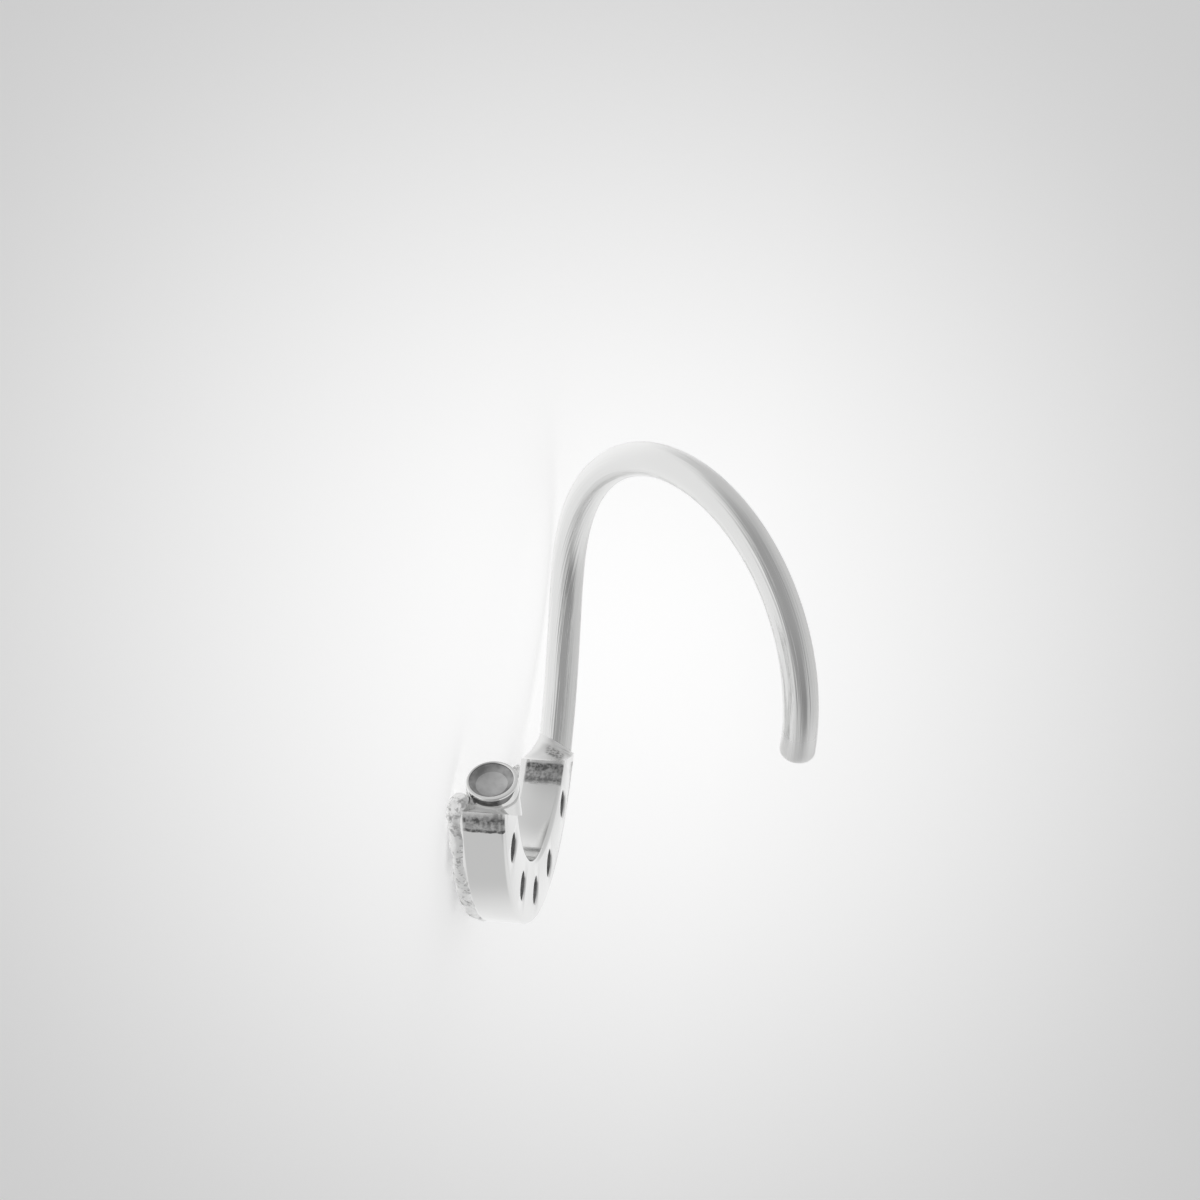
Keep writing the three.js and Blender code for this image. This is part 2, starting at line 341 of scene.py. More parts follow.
def band_body():
    bm = bmesh.new()
    corners = [bm.verts.new(ring_point(r, BAND_SPAN[0], y)) for r, y in band_profile()]
    edges = [bm.edges.new((a, b)) for a, b in zip(corners, corners[1:] + corners[:1])]
    bmesh.ops.spin(
        bm,
        geom=corners + edges,
        cent=(0, 0, 0),
        axis=-RING_AXIS,
        angle=math.radians(BAND_SPAN[1] - BAND_SPAN[0]),
        steps=BAND_STEPS,
    )
    saw_off(bm, -1, SOCKET_END)
    saw_off(bm, 1, WIRE_END)
    bmesh.ops.recalc_face_normals(bm, faces=bm.faces)
    sharp = [e for e in bm.edges if e.calc_face_angle(0) > math.radians(ROUNDED_FROM)]
    front = [e for e in sharp if all(v.co.y > BAND_THICKNESS / 2 for v in e.verts)]
    bevel(bm, front, EDGE_ROUND, EDGE_SEGMENTS)
    return bm


band_bm = band_body()
print("band body:", len(band_bm.faces), "faces")

# %% [markdown]
# ## Seats
# Each stone sits in a cone that is cut from the front, and a drill goes on right through the band,
# so the stone can be cleaned and lit from behind. A single turned cutter with that outline does
# both. Where it leaves the back it flares in a quarter round, which leaves the edge of each hole
# softened instead of razor sharp.

# %% Seats and holes
SEAT_GAP = 0.03
HOLE_RADIUS = 0.325
HOLE_ROUND = 0.038
PAST = 1.0  # mm, how far a cutter runs past the metal


def seat_cutter(degrees):
    slope = STONE_PAVILION / (STONE_DIAMETER / 2)
    wide = STONE_DIAMETER / 2 + SEAT_GAP
    flare = quarter_round((HOLE_RADIUS + HOLE_ROUND, HOLE_ROUND - STONE_LEVEL), HOLE_ROUND, 180)
    profile = [
        (0, -STONE_LEVEL - PAST),
        (HOLE_RADIUS + HOLE_ROUND, -STONE_LEVEL - PAST),
        *reversed(flare),
        (HOLE_RADIUS, -STONE_GIRDLE - SEAT_GAP - (wide - HOLE_RADIUS) * slope),
        (wide, -STONE_GIRDLE - SEAT_GAP),
        (wide, PAST),
        (0, PAST),
    ]
    bm = bmesh.new()
    turned(bm, profile, ring_point(BAND_MIDDLE, degrees, STONE_LEVEL))
    return bm


for degrees in STONE_ANGLES:
    band_bm = cut_out(band_bm, seat_cutter(degrees))
print("band with seats:", len(band_bm.faces), "faces")

# %% [markdown]
# ## Grains
# The stones are held by grains: small burrs of the band's own metal that a graver raises and a
# cupped punch rounds over the stone's edge. Four stand round each stone, and smaller ones fill the
# gaps beside the rims. A turned outline makes a grain with a wide foot and a round head. No two
# grains are alike by hand, so a seeded noise swells and leans each one, and the same noise always
# gives the same hoop.

# %% Grains
RIM_AWAY = 0.59  # mm from the middle of the band
RIMS = [  # mm, and degrees of the ring, with small grains between the stones
    {"radius": BAND_MIDDLE + RIM_AWAY, "from": -57.5, "to": 71, "grains": (45.2, 20, -4, -28, -52)},
    {"radius": BAND_MIDDLE - RIM_AWAY, "from": -44, "to": 38, "grains": (45.2, 20, -4, -28)},
]
GRAIN_TURNS = (45, 135, 225, 315)  # degrees round the stone
GRAIN_REACH = 0.7  # mm from the middle of the stone
GRAIN_RADIUS = 0.15
GRAIN_TOP = BAND_THICKNESS + 0.22
GRAIN_FOOT = BAND_THICKNESS - 0.1
GRAIN_SPREAD = 1.2  # the foot's radius, as a share of the head's
GRAIN_NECK = 0.05  # mm under the round head
GRAIN_DOME_STEPS = 6
GRAIN_SIDES = 20
GRAIN_LEAN = {"size": 0.3, "seed": 3.7, "most": 0.2}  # mm, and mm sideways for each mm of height
GRAIN_DENTS = {"size": 0.14, "deep": 0.028}  # mm
SMALL_GRAIN = 0.72  # of a whole grain's size
SMALL_INSET = 0.07


def uneven(point, size, seed):
    """A smooth random vector, about 1 long at most, that changes over a given length."""
    return noise.noise_vector(point / size + Vector((seed, seed, seed)))


def grain(bm, foot, number, size=1.0):
    radius = GRAIN_RADIUS * size
    head = BAND_THICKNESS + (GRAIN_TOP - BAND_THICKNESS) * size - radius
    dome = quarter_round((0, head), radius, 0, GRAIN_DOME_STEPS)
    side = [(0, GRAIN_FOOT), (radius * GRAIN_SPREAD, GRAIN_FOOT), (radius, head - GRAIN_NECK)]
    way = uneven(foot, GRAIN_LEAN["size"], GRAIN_LEAN["seed"])
    for vert in turned(bm, [*side, *dome], foot, steps=GRAIN_SIDES):
        height = vert.co.y - GRAIN_FOOT
        lean = Vector((way.x, 0, way.z)) * GRAIN_LEAN["most"] * height
        vert.co += lean + GRAIN_DENTS["deep"] * uneven(vert.co, GRAIN_DENTS["size"], number)


def grains():
    bm = bmesh.new()
    for degrees in STONE_ANGLES:
        for turn in GRAIN_TURNS:
            foot = ring_point(BAND_MIDDLE, degrees) + ring_point(GRAIN_REACH, degrees + turn)
            grain(bm, foot, degrees + turn)
    for rim in RIMS:
        radius = rim["radius"] + math.copysign(SMALL_INSET, BAND_MIDDLE - rim["radius"])
        for degrees in rim["grains"]:
            grain(bm, ring_point(radius, degrees), degrees + radius, SMALL_GRAIN)
    return bm


small = sum(len(rim["grains"]) for rim in RIMS)
print("grains:", len(STONE_ANGLES) * len(GRAIN_TURNS), "round the stones and", small, "small ones")

# %% [markdown]
# ## Raised rims and end beads
# Along both edges of the band the graver also pushed up a ridge, which the punch left lumpy. It is
# a small oval that is spun round the ring, closed at its ends and dented by two sizes of noise. At
# the socket's end a few beads of metal ran together, and dented balls that overlap make them.

# %% Rims and beads
RIM_HALF_WIDE = 0.115
RIM_HALF_HIGH = 0.19
RIM_SIDES = 14
RIM_STEPS = 150
RIM_DENTS = {"seed": 6.0, "sizes": [{"size": 0.35, "deep": 0.05}, {"size": 0.12, "deep": 0.022}]}  # mm
BEAD_SUBDIVISIONS = 4
BEAD_DENTS = {"seed": 1.0, "sizes": [{"size": 0.22, "deep": 0.06}, {"size": 0.09, "deep": 0.02}]}
END_BEADS = [
    {"degrees": -59, "radius": 4.78, "y": 0.98, "size": 0.24},
    {"degrees": -56.3, "radius": 4.82, "y": 1.07, "size": 0.2},
    {"degrees": -54, "radius": 4.78, "y": 1.1, "size": 0.16},
    {"degrees": -58.2, "radius": 4.7, "y": 0.8, "size": 0.17},
]


def dent(verts, dents):
    for vert in verts:
        pushes = (uneven(vert.co, d["size"], dents["seed"]) * d["deep"] for d in dents["sizes"])
        vert.co += sum(pushes, Vector())


def raised_rims():
    bm = bmesh.new()
    for rim in RIMS:
        oval = bmesh.ops.create_circle(bm, segments=RIM_SIDES, radius=1)["verts"]
        edges = list(dict.fromkeys(edge for vert in oval for edge in vert.link_edges))
        outwards = ring_point(1, rim["from"])
        stand = Matrix((outwards * RIM_HALF_WIDE, RING_AXIS * RIM_HALF_HIGH, outwards.cross(RING_AXIS)))
        bmesh.ops.transform(bm, matrix=stand.transposed().to_4x4(), verts=oval)
        bmesh.ops.translate(bm, vec=ring_point(rim["radius"], rim["from"], BAND_THICKNESS), verts=oval)
        bmesh.ops.spin(
            bm,
            geom=oval + edges,
            cent=(0, 0, 0),
            axis=RING_AXIS,
            angle=math.radians(rim["from"] - rim["to"]),
            steps=RIM_STEPS,
        )
    bmesh.ops.holes_fill(bm, edges=[edge for edge in bm.edges if edge.is_boundary])
    dent(bm.verts, RIM_DENTS)
    return bm


def end_beads():
    bm = bmesh.new()
    for bead in END_BEADS:
        size = bead["size"]
        ball = bmesh.ops.create_icosphere(bm, subdivisions=BEAD_SUBDIVISIONS, radius=size)["verts"]
        bmesh.ops.translate(bm, vec=ring_point(bead["radius"], bead["degrees"], bead["y"]), verts=ball)
        dent(ball, BEAD_DENTS)
    return bm


print("rims:", len(RIMS), "and beads at the socket's end:", len(END_BEADS))

# %% [markdown]
# ## The wire
# The wire is round, drawn through a plate, and bent over a mandrel and then sideways by hand.
# A curve object could do it, but a bent wire has no simple control points. It is easier to walk
# along it: the end ring of the tube is extruded, and the new ring is bent, moved ahead and bent
# again, and twisted a little, as fingers and pliers do. The bend is given as a share of the ring's
# own curve at five places. Each vertex also remembers where it sits round and along the wire, for
# the fine lines that the draw plate leaves.

# %% Wire
WIRE_RADIUS = 0.4
WIRE_START = 79.5  # degrees on the ring
WIRE_LENGTH = 18.38
WIRE_SUNK = 0.35  # how much of its start is hidden in the solder
WIRE_INSET = 0.02  # from the band's outer wall and from its back
WIRE_SIDES = 40
WIRE_STEPS = 180
TIP_LENGTH = 0.22
TIP_STEPS = 7
WIRE_BENDS = [  # shares of the wire's length and of the ring's own curve
    {"along": 0.0, "bend": 0.48},
    {"along": 0.25, "bend": 1.03},
    {"along": 0.5, "bend": 1.26},
    {"along": 0.75, "bend": 1.09},
    {"along": 1.0, "bend": 0.73},
]
TWIST = {"total": 51.4, "along": 0.236, "reach": 0.203}  # degrees, and shares of the wire

WIRE_RING = RING_RADIUS - WIRE_RADIUS - WIRE_INSET
WIRE_FOOT = ring_point(WIRE_RING, WIRE_START, WIRE_RADIUS + WIRE_INSET)
WIRE_AHEAD = Vector((math.cos(math.radians(WIRE_START)), 0, math.sin(math.radians(WIRE_START))))


def bend_at(along):
    """Degrees for each mm, between the two nearest rows of the table."""
    for before, after in zip(WIRE_BENDS, WIRE_BENDS[1:]):
        if along <= after["along"]:
            share = (along - before["along"]) / (after["along"] - before["along"])
            bend = before["bend"] + share * (after["bend"] - before["bend"])
            return math.degrees(bend / WIRE_RING)


def twist_at(along):
    """Degrees of twist for a whole wire's length, in one soft hump."""
    off = min(abs(along - TWIST["along"]) / TWIST["reach"], 1)
    return TWIST["total"] / TWIST["reach"] * (1 + math.cos(math.pi * off)) / 2


class WireEnd:
    """The growing end of the wire: its open ring, where it is and which way it points."""

    def __init__(self):
        self.bm = bmesh.new()
        self.drawn = self.bm.verts.layers.float_vector.new("drawn")
        self.at = WIRE_FOOT - WIRE_AHEAD * WIRE_SUNK
        self.ahead = WIRE_AHEAD.copy()
        self.inwards = Vector((-WIRE_AHEAD.z, 0, WIRE_AHEAD.x))
        circle = bmesh.ops.create_circle(self.bm, segments=WIRE_SIDES, radius=WIRE_RADIUS, cap_ends=True)
        self.ring = circle["verts"]
        for vert in self.ring:
            vert[self.drawn] = vert.co / WIRE_RADIUS
        stand = Vector((0, 0, 1)).rotation_difference(self.ahead).to_matrix()
        bmesh.ops.rotate(self.bm, cent=(0, 0, 0), matrix=stand, verts=self.ring)
        bmesh.ops.translate(self.bm, vec=self.at, verts=self.ring)
        self.edges = list(self.bm.edges)

    def turn(self, axis, degrees):
        matrix = Matrix.Rotation(math.radians(degrees), 3, axis)
        bmesh.ops.rotate(self.bm, cent=self.at, matrix=matrix, verts=self.ring)
        self.ahead = matrix @ self.ahead
        self.inwards = matrix @ self.inwards

    def grow(self, length, narrower=1.0):
        self.ring, self.edges = next_ring(self.bm, self.edges)
        bmesh.ops.translate(self.bm, vec=self.ahead * length, verts=self.ring)
        self.at = self.at + self.ahead * length
        for vert in self.ring:
            vert.co = self.at + (vert.co - self.at) * narrower
            vert[self.drawn].z += length


def wire():
    end = WireEnd()
    end.grow(WIRE_SUNK)
    step = WIRE_LENGTH / WIRE_STEPS
    for number in range(WIRE_STEPS):
        along = (number + 0.5) / WIRE_STEPS
        hinge = end.ahead.cross(end.inwards)
        end.turn(hinge, bend_at(along) * step / 2)
        end.grow(step)
        end.turn(hinge, bend_at(along) * step / 2)
        end.turn(end.ahead, twist_at(along) / WIRE_STEPS)
    turns = [math.pi / 2 * number / TIP_STEPS for number in range(TIP_STEPS)]
    for before, after in zip(turns, turns[1:]):
        ahead = TIP_LENGTH * (math.sin(after) - math.sin(before))
        end.grow(ahead, math.cos(after) / math.cos(before))
    bmesh.ops.contextual_create(end.bm, geom=end.edges)
    return end.bm


print("wire:", WIRE_LENGTH, "mm long,", 2 * WIRE_RADIUS, "mm thick, twisted by", TWIST["total"], "degrees")

# %% [markdown]
# ## Solder
# Molten solder climbs a wire and spreads over the flat end of the band, and it stops where the
# flat stops. That is a blend from a circle to a rectangle, with a hollow side. First comes how far
# the band's end reaches on its four sides, seen from the middle of the joint, and the round top of
# the skirt, a disc across the wire that leans a little forwards.

# %% Where the solder starts and stops
OVERFLOW = 0.008  # mm, how proud the solder stands where it ran down the band's walls
SKIRT_SIDES = 96


def band_reach(middle, outwards):
    """How far the band's end goes from a point on it, to each of its four sides."""
    level = Vector((middle.x, 0, middle.z))
    out = level.dot(outwards)
    return {
        "out": math.sqrt(out**2 - level.length_squared + RING_RADIUS**2) - out + OVERFLOW,
        "in": out - math.sqrt(out**2 - level.length_squared + INNER_RADIUS**2) + OVERFLOW,
        "front": BAND_THICKNESS - middle.y,
        "back": middle.y + OVERFLOW,
    }


def wall_distance(across, deep, reach, corner):
    """How far the band's outline is from a point inside it, with more or less rounded corners."""
    sides = (across / reach["out" if across > 0 else "in"], deep / reach["front" if deep > 0 else "back"])
    return sum(abs(side) ** corner for side in sides) ** (-1 / corner)


def skirt_top(bm, top, ahead, radius, lean):
    """A disc across the wire or the tube. Gives its vertices and edges."""
    ring = bmesh.ops.create_circle(bm, segments=SKIRT_SIDES, radius=radius, cap_ends=True)["verts"]
    edges = list(bm.edges)
    stand = Matrix((ahead.cross(RING_AXIS), RING_AXIS, ahead)).transposed()
    bmesh.ops.rotate(bm, cent=(0, 0, 0), matrix=stand, verts=ring)
    bmesh.ops.translate(bm, vec=top, verts=ring)
    for vert in ring:
        vert.co += ahead * lean * (vert.co.y - top.y) / radius
    return ring, edges


# %% [markdown]
# The rings of the skirt are extruded one after another from that disc. In each direction round the
# wire the last ring reaches as far as the band's wall is, and the rings between follow a hollow
# curve. A little noise makes it look flowed and not machined. Past the sharp end of the band the
# solder ran on down each wall by its own distance, and the last ring is drawn in and closed.

# %% Solder skirts
SKIRT_STEPS = 30
SKIRT_CORNER = 7  # a high number gives sharp corners, and 2 a circle
OVERFLOW_STEPS = 10
CORNER_SHARE = 0.72  # a corner counts to both of its sides
EDGE_SWELL = {"at": 0.2, "wide": 0.13}  # shares of the way down, for a rounded upper edge
FLOW_SIZE = 0.35  # mm, between the lumps of solder that froze as it flowed
DRAWN_IN = 0.04  # share of the way to the middle
SOLDER_LAP = 1.01  # the skirt starts this share of the radius round its wire or tube


def run_of(way, reach, ran_down):
    """How far solder ran down below one point of the outline, in degrees of the ring."""
    pull = {"out": way.x, "in": -way.x, "front": way.y, "back": -way.y}
    near = {side: pull[side] / reach[side] for side in reach}
    return max(ran_down[side] for side in reach if near[side] > CORNER_SHARE * max(near.values()))


def solder(top, ahead, radius, end, ran_down, edge):
    """The skirt between a round piece and the band's end cut, and what ran down the walls.

    The edge says how the skirt leans at its top, how far it swells and flows, which noise it flows
    by, and how hollow it is: 1 is a straight cone, and a higher number a hollower one.
    """
    up = cut_normal(end)
    drop = (top - Vector((0, 0, end["height"]))).dot(up) / ahead.dot(up)
    middle = top - ahead * drop
    outwards = RING_AXIS.cross(up) * math.copysign(1, middle.x)
    reach = band_reach(middle, outwards)
    bm = bmesh.new()
    ring, edges = skirt_top(bm, top, ahead, radius, edge["lean"])
    starts = [vert.co.copy() for vert in ring]
    ways = [Vector(((start - top).dot(outwards), (start - top).y)).normalized() for start in starts]
    for step in range(1, SKIRT_STEPS + 1):
        share = step / SKIRT_STEPS
        corner = 2 + (SKIRT_CORNER - 2) * share**2
        swell = edge["swell"] * math.exp(-(((share - EDGE_SWELL["at"]) / EDGE_SWELL["wide"]) ** 2))
        ring, edges = next_ring(bm, edges)
        for vert, start, way in zip(ring, starts, ways):
            aside = outwards * way.x + RING_AXIS * way.y
            goal = middle + aside * wall_distance(way.x, way.y, reach, corner)
            down = up * (goal - start).dot(up)
            vert.co = start + down * share + (goal - start - down) * share ** edge["hollow"]
            vert.co += aside * swell * (1 - way.y) / 2
            lumps = uneven(vert.co, FLOW_SIZE, edge["seed"])
            vert.co += edge["flowed"] * math.sin(math.pi * share) * lumps
    slides = [math.radians(run_of(way, reach, ran_down)) for way in ways]
    for step in range(OVERFLOW_STEPS + 1):
        ring, edges = next_ring(bm, edges)
        for vert, slide in zip(ring, slides):
            turn = math.copysign(slide / OVERFLOW_STEPS, middle.x)
            vert.co = Matrix.Rotation(turn, 3, RING_AXIS) @ vert.co
    for vert in ring:
        vert.co += (middle - vert.co) * DRAWN_IN
    bmesh.ops.contextual_create(bm, geom=edges)
    return bm


WIRE_SOLDER_TOP = 0.04  # mm above the wire's foot
WIRE_SOLDER_EDGE = {"lean": 0.2, "swell": 0.085, "flowed": 0.035, "seed": 2.0, "hollow": 1.7}
WIRE_RAN_DOWN = {"out": 4, "in": 10.2, "front": 0.5, "back": 2}  # degrees of the ring


def wire_solder():
    top = WIRE_FOOT + WIRE_AHEAD * WIRE_SOLDER_TOP
    radius = WIRE_RADIUS * SOLDER_LAP
    return solder(top, WIRE_AHEAD, radius, WIRE_END, WIRE_RAN_DOWN, WIRE_SOLDER_EDGE)


print("solder at the wire's foot ran down by up to", max(WIRE_RAN_DOWN.values()), "degrees of the ring")

# %% [markdown]
# ## The socket
# The wire's tip plugs into a short tube on the band's other end. It is cut from round tube, with
# a shallow cup drilled in its mouth, and leans outwards to meet the tip. One turned outline gives
# the outer wall, a rounded lip, the drilled wall and the flat bottom, so the lip catches the light
# in a thin line. The drill went in a hair off the tube's middle, so the lip is wider on one side.
# On the tube's outer side, in the corner over the solder, a crescent under the lip is painted dark as
# shade. Its faces lie between two rings of the outline, and the lower ring is pushed up to the lip on both
# sides of the crescent. The tube's foot is sawn off level with the band's end, so it stands flat on it.

# %% Socket
SOCKET_RADIUS = 0.55
SOCKET_BORE = 0.472
SOCKET_BOTTOM = 0.34
SOCKET_DEPTH = 0.14
SOCKET_STRAIGHT = 0.04
SOCKET_LENGTH = 1.1
SOCKET_LIP = 0.02
SOCKET_SIDES = 72
SOCKET_DULL = {"from": 0.05, "to": 0.21, "reach": 62, "aside": 6}  # mm from the mouth, and degrees
SOCKET_MOUTH = Vector((-3.914, 0.379, -1.906))
DRILLED_ASIDE = Vector((0.014, 0.021, 0.016))  # mm: the cup isn't quite in the tube's middle
SOCKET_PITCH = 40  # degrees
TINY = 1e-3  # mm

SOCKET_AHEAD = Vector((-math.cos(math.radians(SOCKET_PITCH)), 0, math.sin(math.radians(SOCKET_PITCH))))
SOCKET_BELOW = SOCKET_AHEAD.cross(RING_AXIS)  # the way from the axis to the crescent's middle
SOCKET_BELOW.rotate(Matrix.Rotation(math.radians(SOCKET_DULL["aside"]), 3, SOCKET_AHEAD))


def in_socket(point):
    """How deep below the mouth a point is, and its way off the socket's axis."""
    off = point - SOCKET_MOUTH
    deep = -off.dot(SOCKET_AHEAD)
    return deep, off + SOCKET_AHEAD * deep


def socket():
    outside = quarter_round((SOCKET_RADIUS - SOCKET_LIP, -SOCKET_LIP), SOCKET_LIP, 0)
    inside = quarter_round((SOCKET_BORE + SOCKET_LIP, -SOCKET_LIP), SOCKET_LIP, 90)
    profile = [
        (0, -SOCKET_LENGTH),
        (SOCKET_RADIUS, -SOCKET_LENGTH),
        (SOCKET_RADIUS, -SOCKET_DULL["to"]),
        (SOCKET_RADIUS, -SOCKET_DULL["from"]),
        *outside,
        *inside,
        (SOCKET_BORE, -SOCKET_STRAIGHT),
        (SOCKET_BOTTOM, -SOCKET_DEPTH),
        (0, -SOCKET_DEPTH),
    ]
    bm = bmesh.new()
    wall = turned(bm, profile, SOCKET_MOUTH, SOCKET_AHEAD, SOCKET_SIDES)
    for vert in wall:
        deep, across = in_socket(vert.co)
        if abs(deep - SOCKET_DULL["to"]) < TINY:
            turn = min(math.degrees(across.angle(SOCKET_BELOW)) / SOCKET_DULL["reach"], 1)
            vert.co += SOCKET_AHEAD * (SOCKET_DULL["to"] - SOCKET_DULL["from"] - TINY) * turn**4
        if deep < SOCKET_DEPTH + TINY and across.length < SOCKET_RADIUS - SOCKET_LIP - TINY:
            vert.co += DRILLED_ASIDE
    cut = bmesh.ops.bisect_plane(
        bm,
        geom=bm.verts[:] + bm.edges[:] + bm.faces[:],
        plane_co=(0, 0, SOCKET_END["height"]),
        plane_no=(0, 0, 1),
        clear_inner=True,
    )["geom_cut"]
    bmesh.ops.contextual_create(bm, geom=[part for part in cut if isinstance(part, bmesh.types.BMEdge)])
    return bm


SOCKET_SOLDER_TOP = -0.24  # mm from the mouth
SOCKET_SOLDER_EDGE = {"lean": 0.1, "swell": 0.0, "flowed": 0.03, "seed": 5.0, "hollow": 1.7}
SOCKET_RAN_DOWN = {"out": 5.4, "in": 1, "front": 0.5, "back": 0.4}


def socket_solder():
    top = SOCKET_MOUTH + SOCKET_AHEAD * SOCKET_SOLDER_TOP
    radius = SOCKET_RADIUS * SOLDER_LAP
    return solder(top, SOCKET_AHEAD, radius, SOCKET_END, SOCKET_RAN_DOWN, SOCKET_SOLDER_EDGE)


off_middle = (DRILLED_ASIDE - DRILLED_ASIDE.project(SOCKET_AHEAD)).length
wall_thickness = SOCKET_RADIUS - SOCKET_BORE
print("the socket's wall is", round(wall_thickness - off_middle, 3), "mm at its thinnest")

# %% [markdown]
# ## The stones
# Each stone is a round brilliant. Its corners lie on five level circles: eight round the table,
# eight half-way up the crown, sixteen at each edge of the girdle, eight on the pavilion and one at
# the point. A brilliant is convex, so the convex hull of those corners is the stone, with its
# star, kite and girdle facets all where a cutter would put them. Triangles that lie in one plane
# are joined into one facet, and the facets stay flat, with crisp edges.

# %% Brilliants
STONE_RADIUS = STONE_DIAMETER / 2
STONE_SHRINK = 0.996  # keeps the corners a hair inside the CAD stone
ONE_FACET = math.radians(1)  # triangles that lie this flat to each other are one facet
FACET_LEVELS = [  # mm, and turned by this share of a step
    {"corners": 8, "radius": 0.34, "height": STONE_CROWN, "turned": 0.0},
    {"corners": 8, "radius": 0.485, "height": STONE_CROWN * 0.5, "turned": 0.5},
    {"corners": 16, "radius": STONE_RADIUS, "height": 0.0, "turned": 0.0},
    {"corners": 16, "radius": STONE_RADIUS, "height": -STONE_GIRDLE, "turned": 0.0},
    {"corners": 8, "radius": 0.14, "height": -STONE_GIRDLE - STONE_PAVILION * 0.79, "turned": 0.5},
    {"corners": 1, "radius": 0.0, "height": -STONE_GIRDLE - STONE_PAVILION, "turned": 0.0},
]


def brilliant(degrees):
    bm = bmesh.new()
    place = ring_point(BAND_MIDDLE, degrees, STONE_LEVEL)
    for level in FACET_LEVELS:
        for corner in range(level["corners"]):
            turn = 360 * (corner + level["turned"]) / level["corners"] + degrees
            point = ring_point(level["radius"], turn, level["height"]) * STONE_SHRINK
            bm.verts.new(place + point)
    bmesh.ops.convex_hull(bm, input=bm.verts)
    bmesh.ops.dissolve_limit(
        bm, angle_limit=ONE_FACET, use_dissolve_boundaries=False, verts=bm.verts, edges=bm.edges
    )
    return bm


sample_bm = brilliant(0)
print("facets on a stone:", len(sample_bm.faces))
sample_bm.free()

# %% [markdown]
# ## Helpers for shader nodes
# Finishes are node trees. Building one in code is a long list of calls, so a few helpers keep it
# readable: one adds a node and fills its sockets, one does sums, one makes a soft step, one makes
# noise. The scene is only a few millimetres wide and measured in metres, so Object coordinates are
# first turned into millimetres, and every size in the finishes below is in millimetres too.

# %% Node helpers
def new_group(name, inputs, outputs):
    """A shader node group with sockets given as {name: (type, default)} and {name: type}."""
    group = bpy.data.node_groups.new(name, "ShaderNodeTree")
    for title, (kind, default) in inputs.items():
        made = group.interface.new_socket(title, in_out="INPUT", socket_type=kind)
        if default is not None:
            made.default_value = default
    for title, kind in outputs.items():
        group.interface.new_socket(title, in_out="OUTPUT", socket_type=kind)
    entry = group.nodes.new("NodeGroupInput")
    leave = group.nodes.new("NodeGroupOutput")
    return group, entry.outputs, leave.inputs


def put(tree, kind, values=(), **settings):
    """Adds a node, sets its properties, and links or sets its inputs by name or number."""
    node = tree.nodes.new(kind)
    for name, value in settings.items():
        setattr(node, name, value)
    for name, value in dict(values).items():
        if isinstance(value, bpy.types.NodeSocket):
            tree.links.new(value, node.inputs[name])
        else:
            node.inputs[name].default_value = value
    return node


def sums(tree, operation, *values):
    return put(tree, "ShaderNodeMath", enumerate(values), operation=operation).outputs[0]


def vectors(tree, operation, *values):
    return put(tree, "ShaderNodeVectorMath", enumerate(values), operation=operation).outputs


def soft_step(tree, value, start, end, low=0.0, high=1.0):
    """Goes smoothly from low to high as a value goes from start to end."""
    sockets = {"Value": value, "From Min": start, "From Max": end, "To Min": low, "To Max": high}
    node = put(tree, "ShaderNodeMapRange", sockets, interpolation_type="SMOOTHSTEP")
    return node.outputs["Result"]


def blend(tree, share, first, second):
    return sums(tree, "MULTIPLY_ADD", share, sums(tree, "SUBTRACT", second, first), first)


def noise_at(tree, place, size, detail=2.0):
    """Noise from 0 to 1 whose blobs are about a size in mm across, for a place in mm."""
    values = {"Vector": place, "Scale": 1 / size, "Detail": detail}
    return put(tree, "ShaderNodeTexNoise", values).outputs["Fac"]


def mixed_colour(tree, share, first, second):
    """Goes from the first colour to the second as a share goes from 0 to 1."""
    node = put(tree, "ShaderNodeMix", data_type="RGBA")
    ends = [plug for plug in node.inputs if plug.type == "RGBA"]
    for plug, colour in zip(ends, (first, second)):
        plug.default_value = colour
    tree.links.new(share, node.inputs[0])
    return next(plug for plug in node.outputs if plug.type == "RGBA")


def in_millimetres(tree):
    """The place on the piece, in mm."""
    place = put(tree, "ShaderNodeTexCoord").outputs["Object"]
    return put(tree, "ShaderNodeVectorMath", {0: place, "Scale": 1 / MM}, operation="SCALE").outputs[0]


# %% [markdown]
# ## Where on the ring
# Solder and other marks, such as the fine dark line on the band's inside, follow the ring and not the
# world. This group turns Object coordinates back into the ring's own frame with one Mapping node, the
# inverse of the move that laid the hoop down, and gives the angle round the ring, the distance from its
# centre and the height above the band's back, in the same degrees and millimetres as the modelling.

# %% Ring place
def ring_place():
    group, _, gives = new_group(
        "ring_place",
        {},
        {
            "Place": "NodeSocketVector",
            "Angle": "NodeSocketFloat",
            "Radius": "NodeSocketFloat",
            "Height": "NodeSocketFloat",
        },
    )
    stood_up = LAID.inverted()
    values = {
        "Vector": in_millimetres(group),
        "Location": stood_up @ -ring_centre,
        "Rotation": stood_up.to_euler(),
    }
    place = put(group, "ShaderNodeMapping", values, vector_type="POINT").outputs["Vector"]
    x, y, z = put(group, "ShaderNodeSeparateXYZ", {0: place}).outputs
    angle = sums(group, "ARCTAN2", x, sums(group, "MULTIPLY", z, -1.0))
    flat = put(group, "ShaderNodeCombineXYZ", {"X": x, "Z": z}).outputs[0]
    group.links.new(place, gives["Place"])
    group.links.new(sums(group, "DEGREES", angle), gives["Angle"])
    group.links.new(vectors(group, "LENGTH", flat)["Value"], gives["Radius"])
    group.links.new(y, gives["Height"])
    return group


RING_PLACE = ring_place()
print("the ring's place comes as", *[made.name for made in RING_PLACE.interface.items_tree])

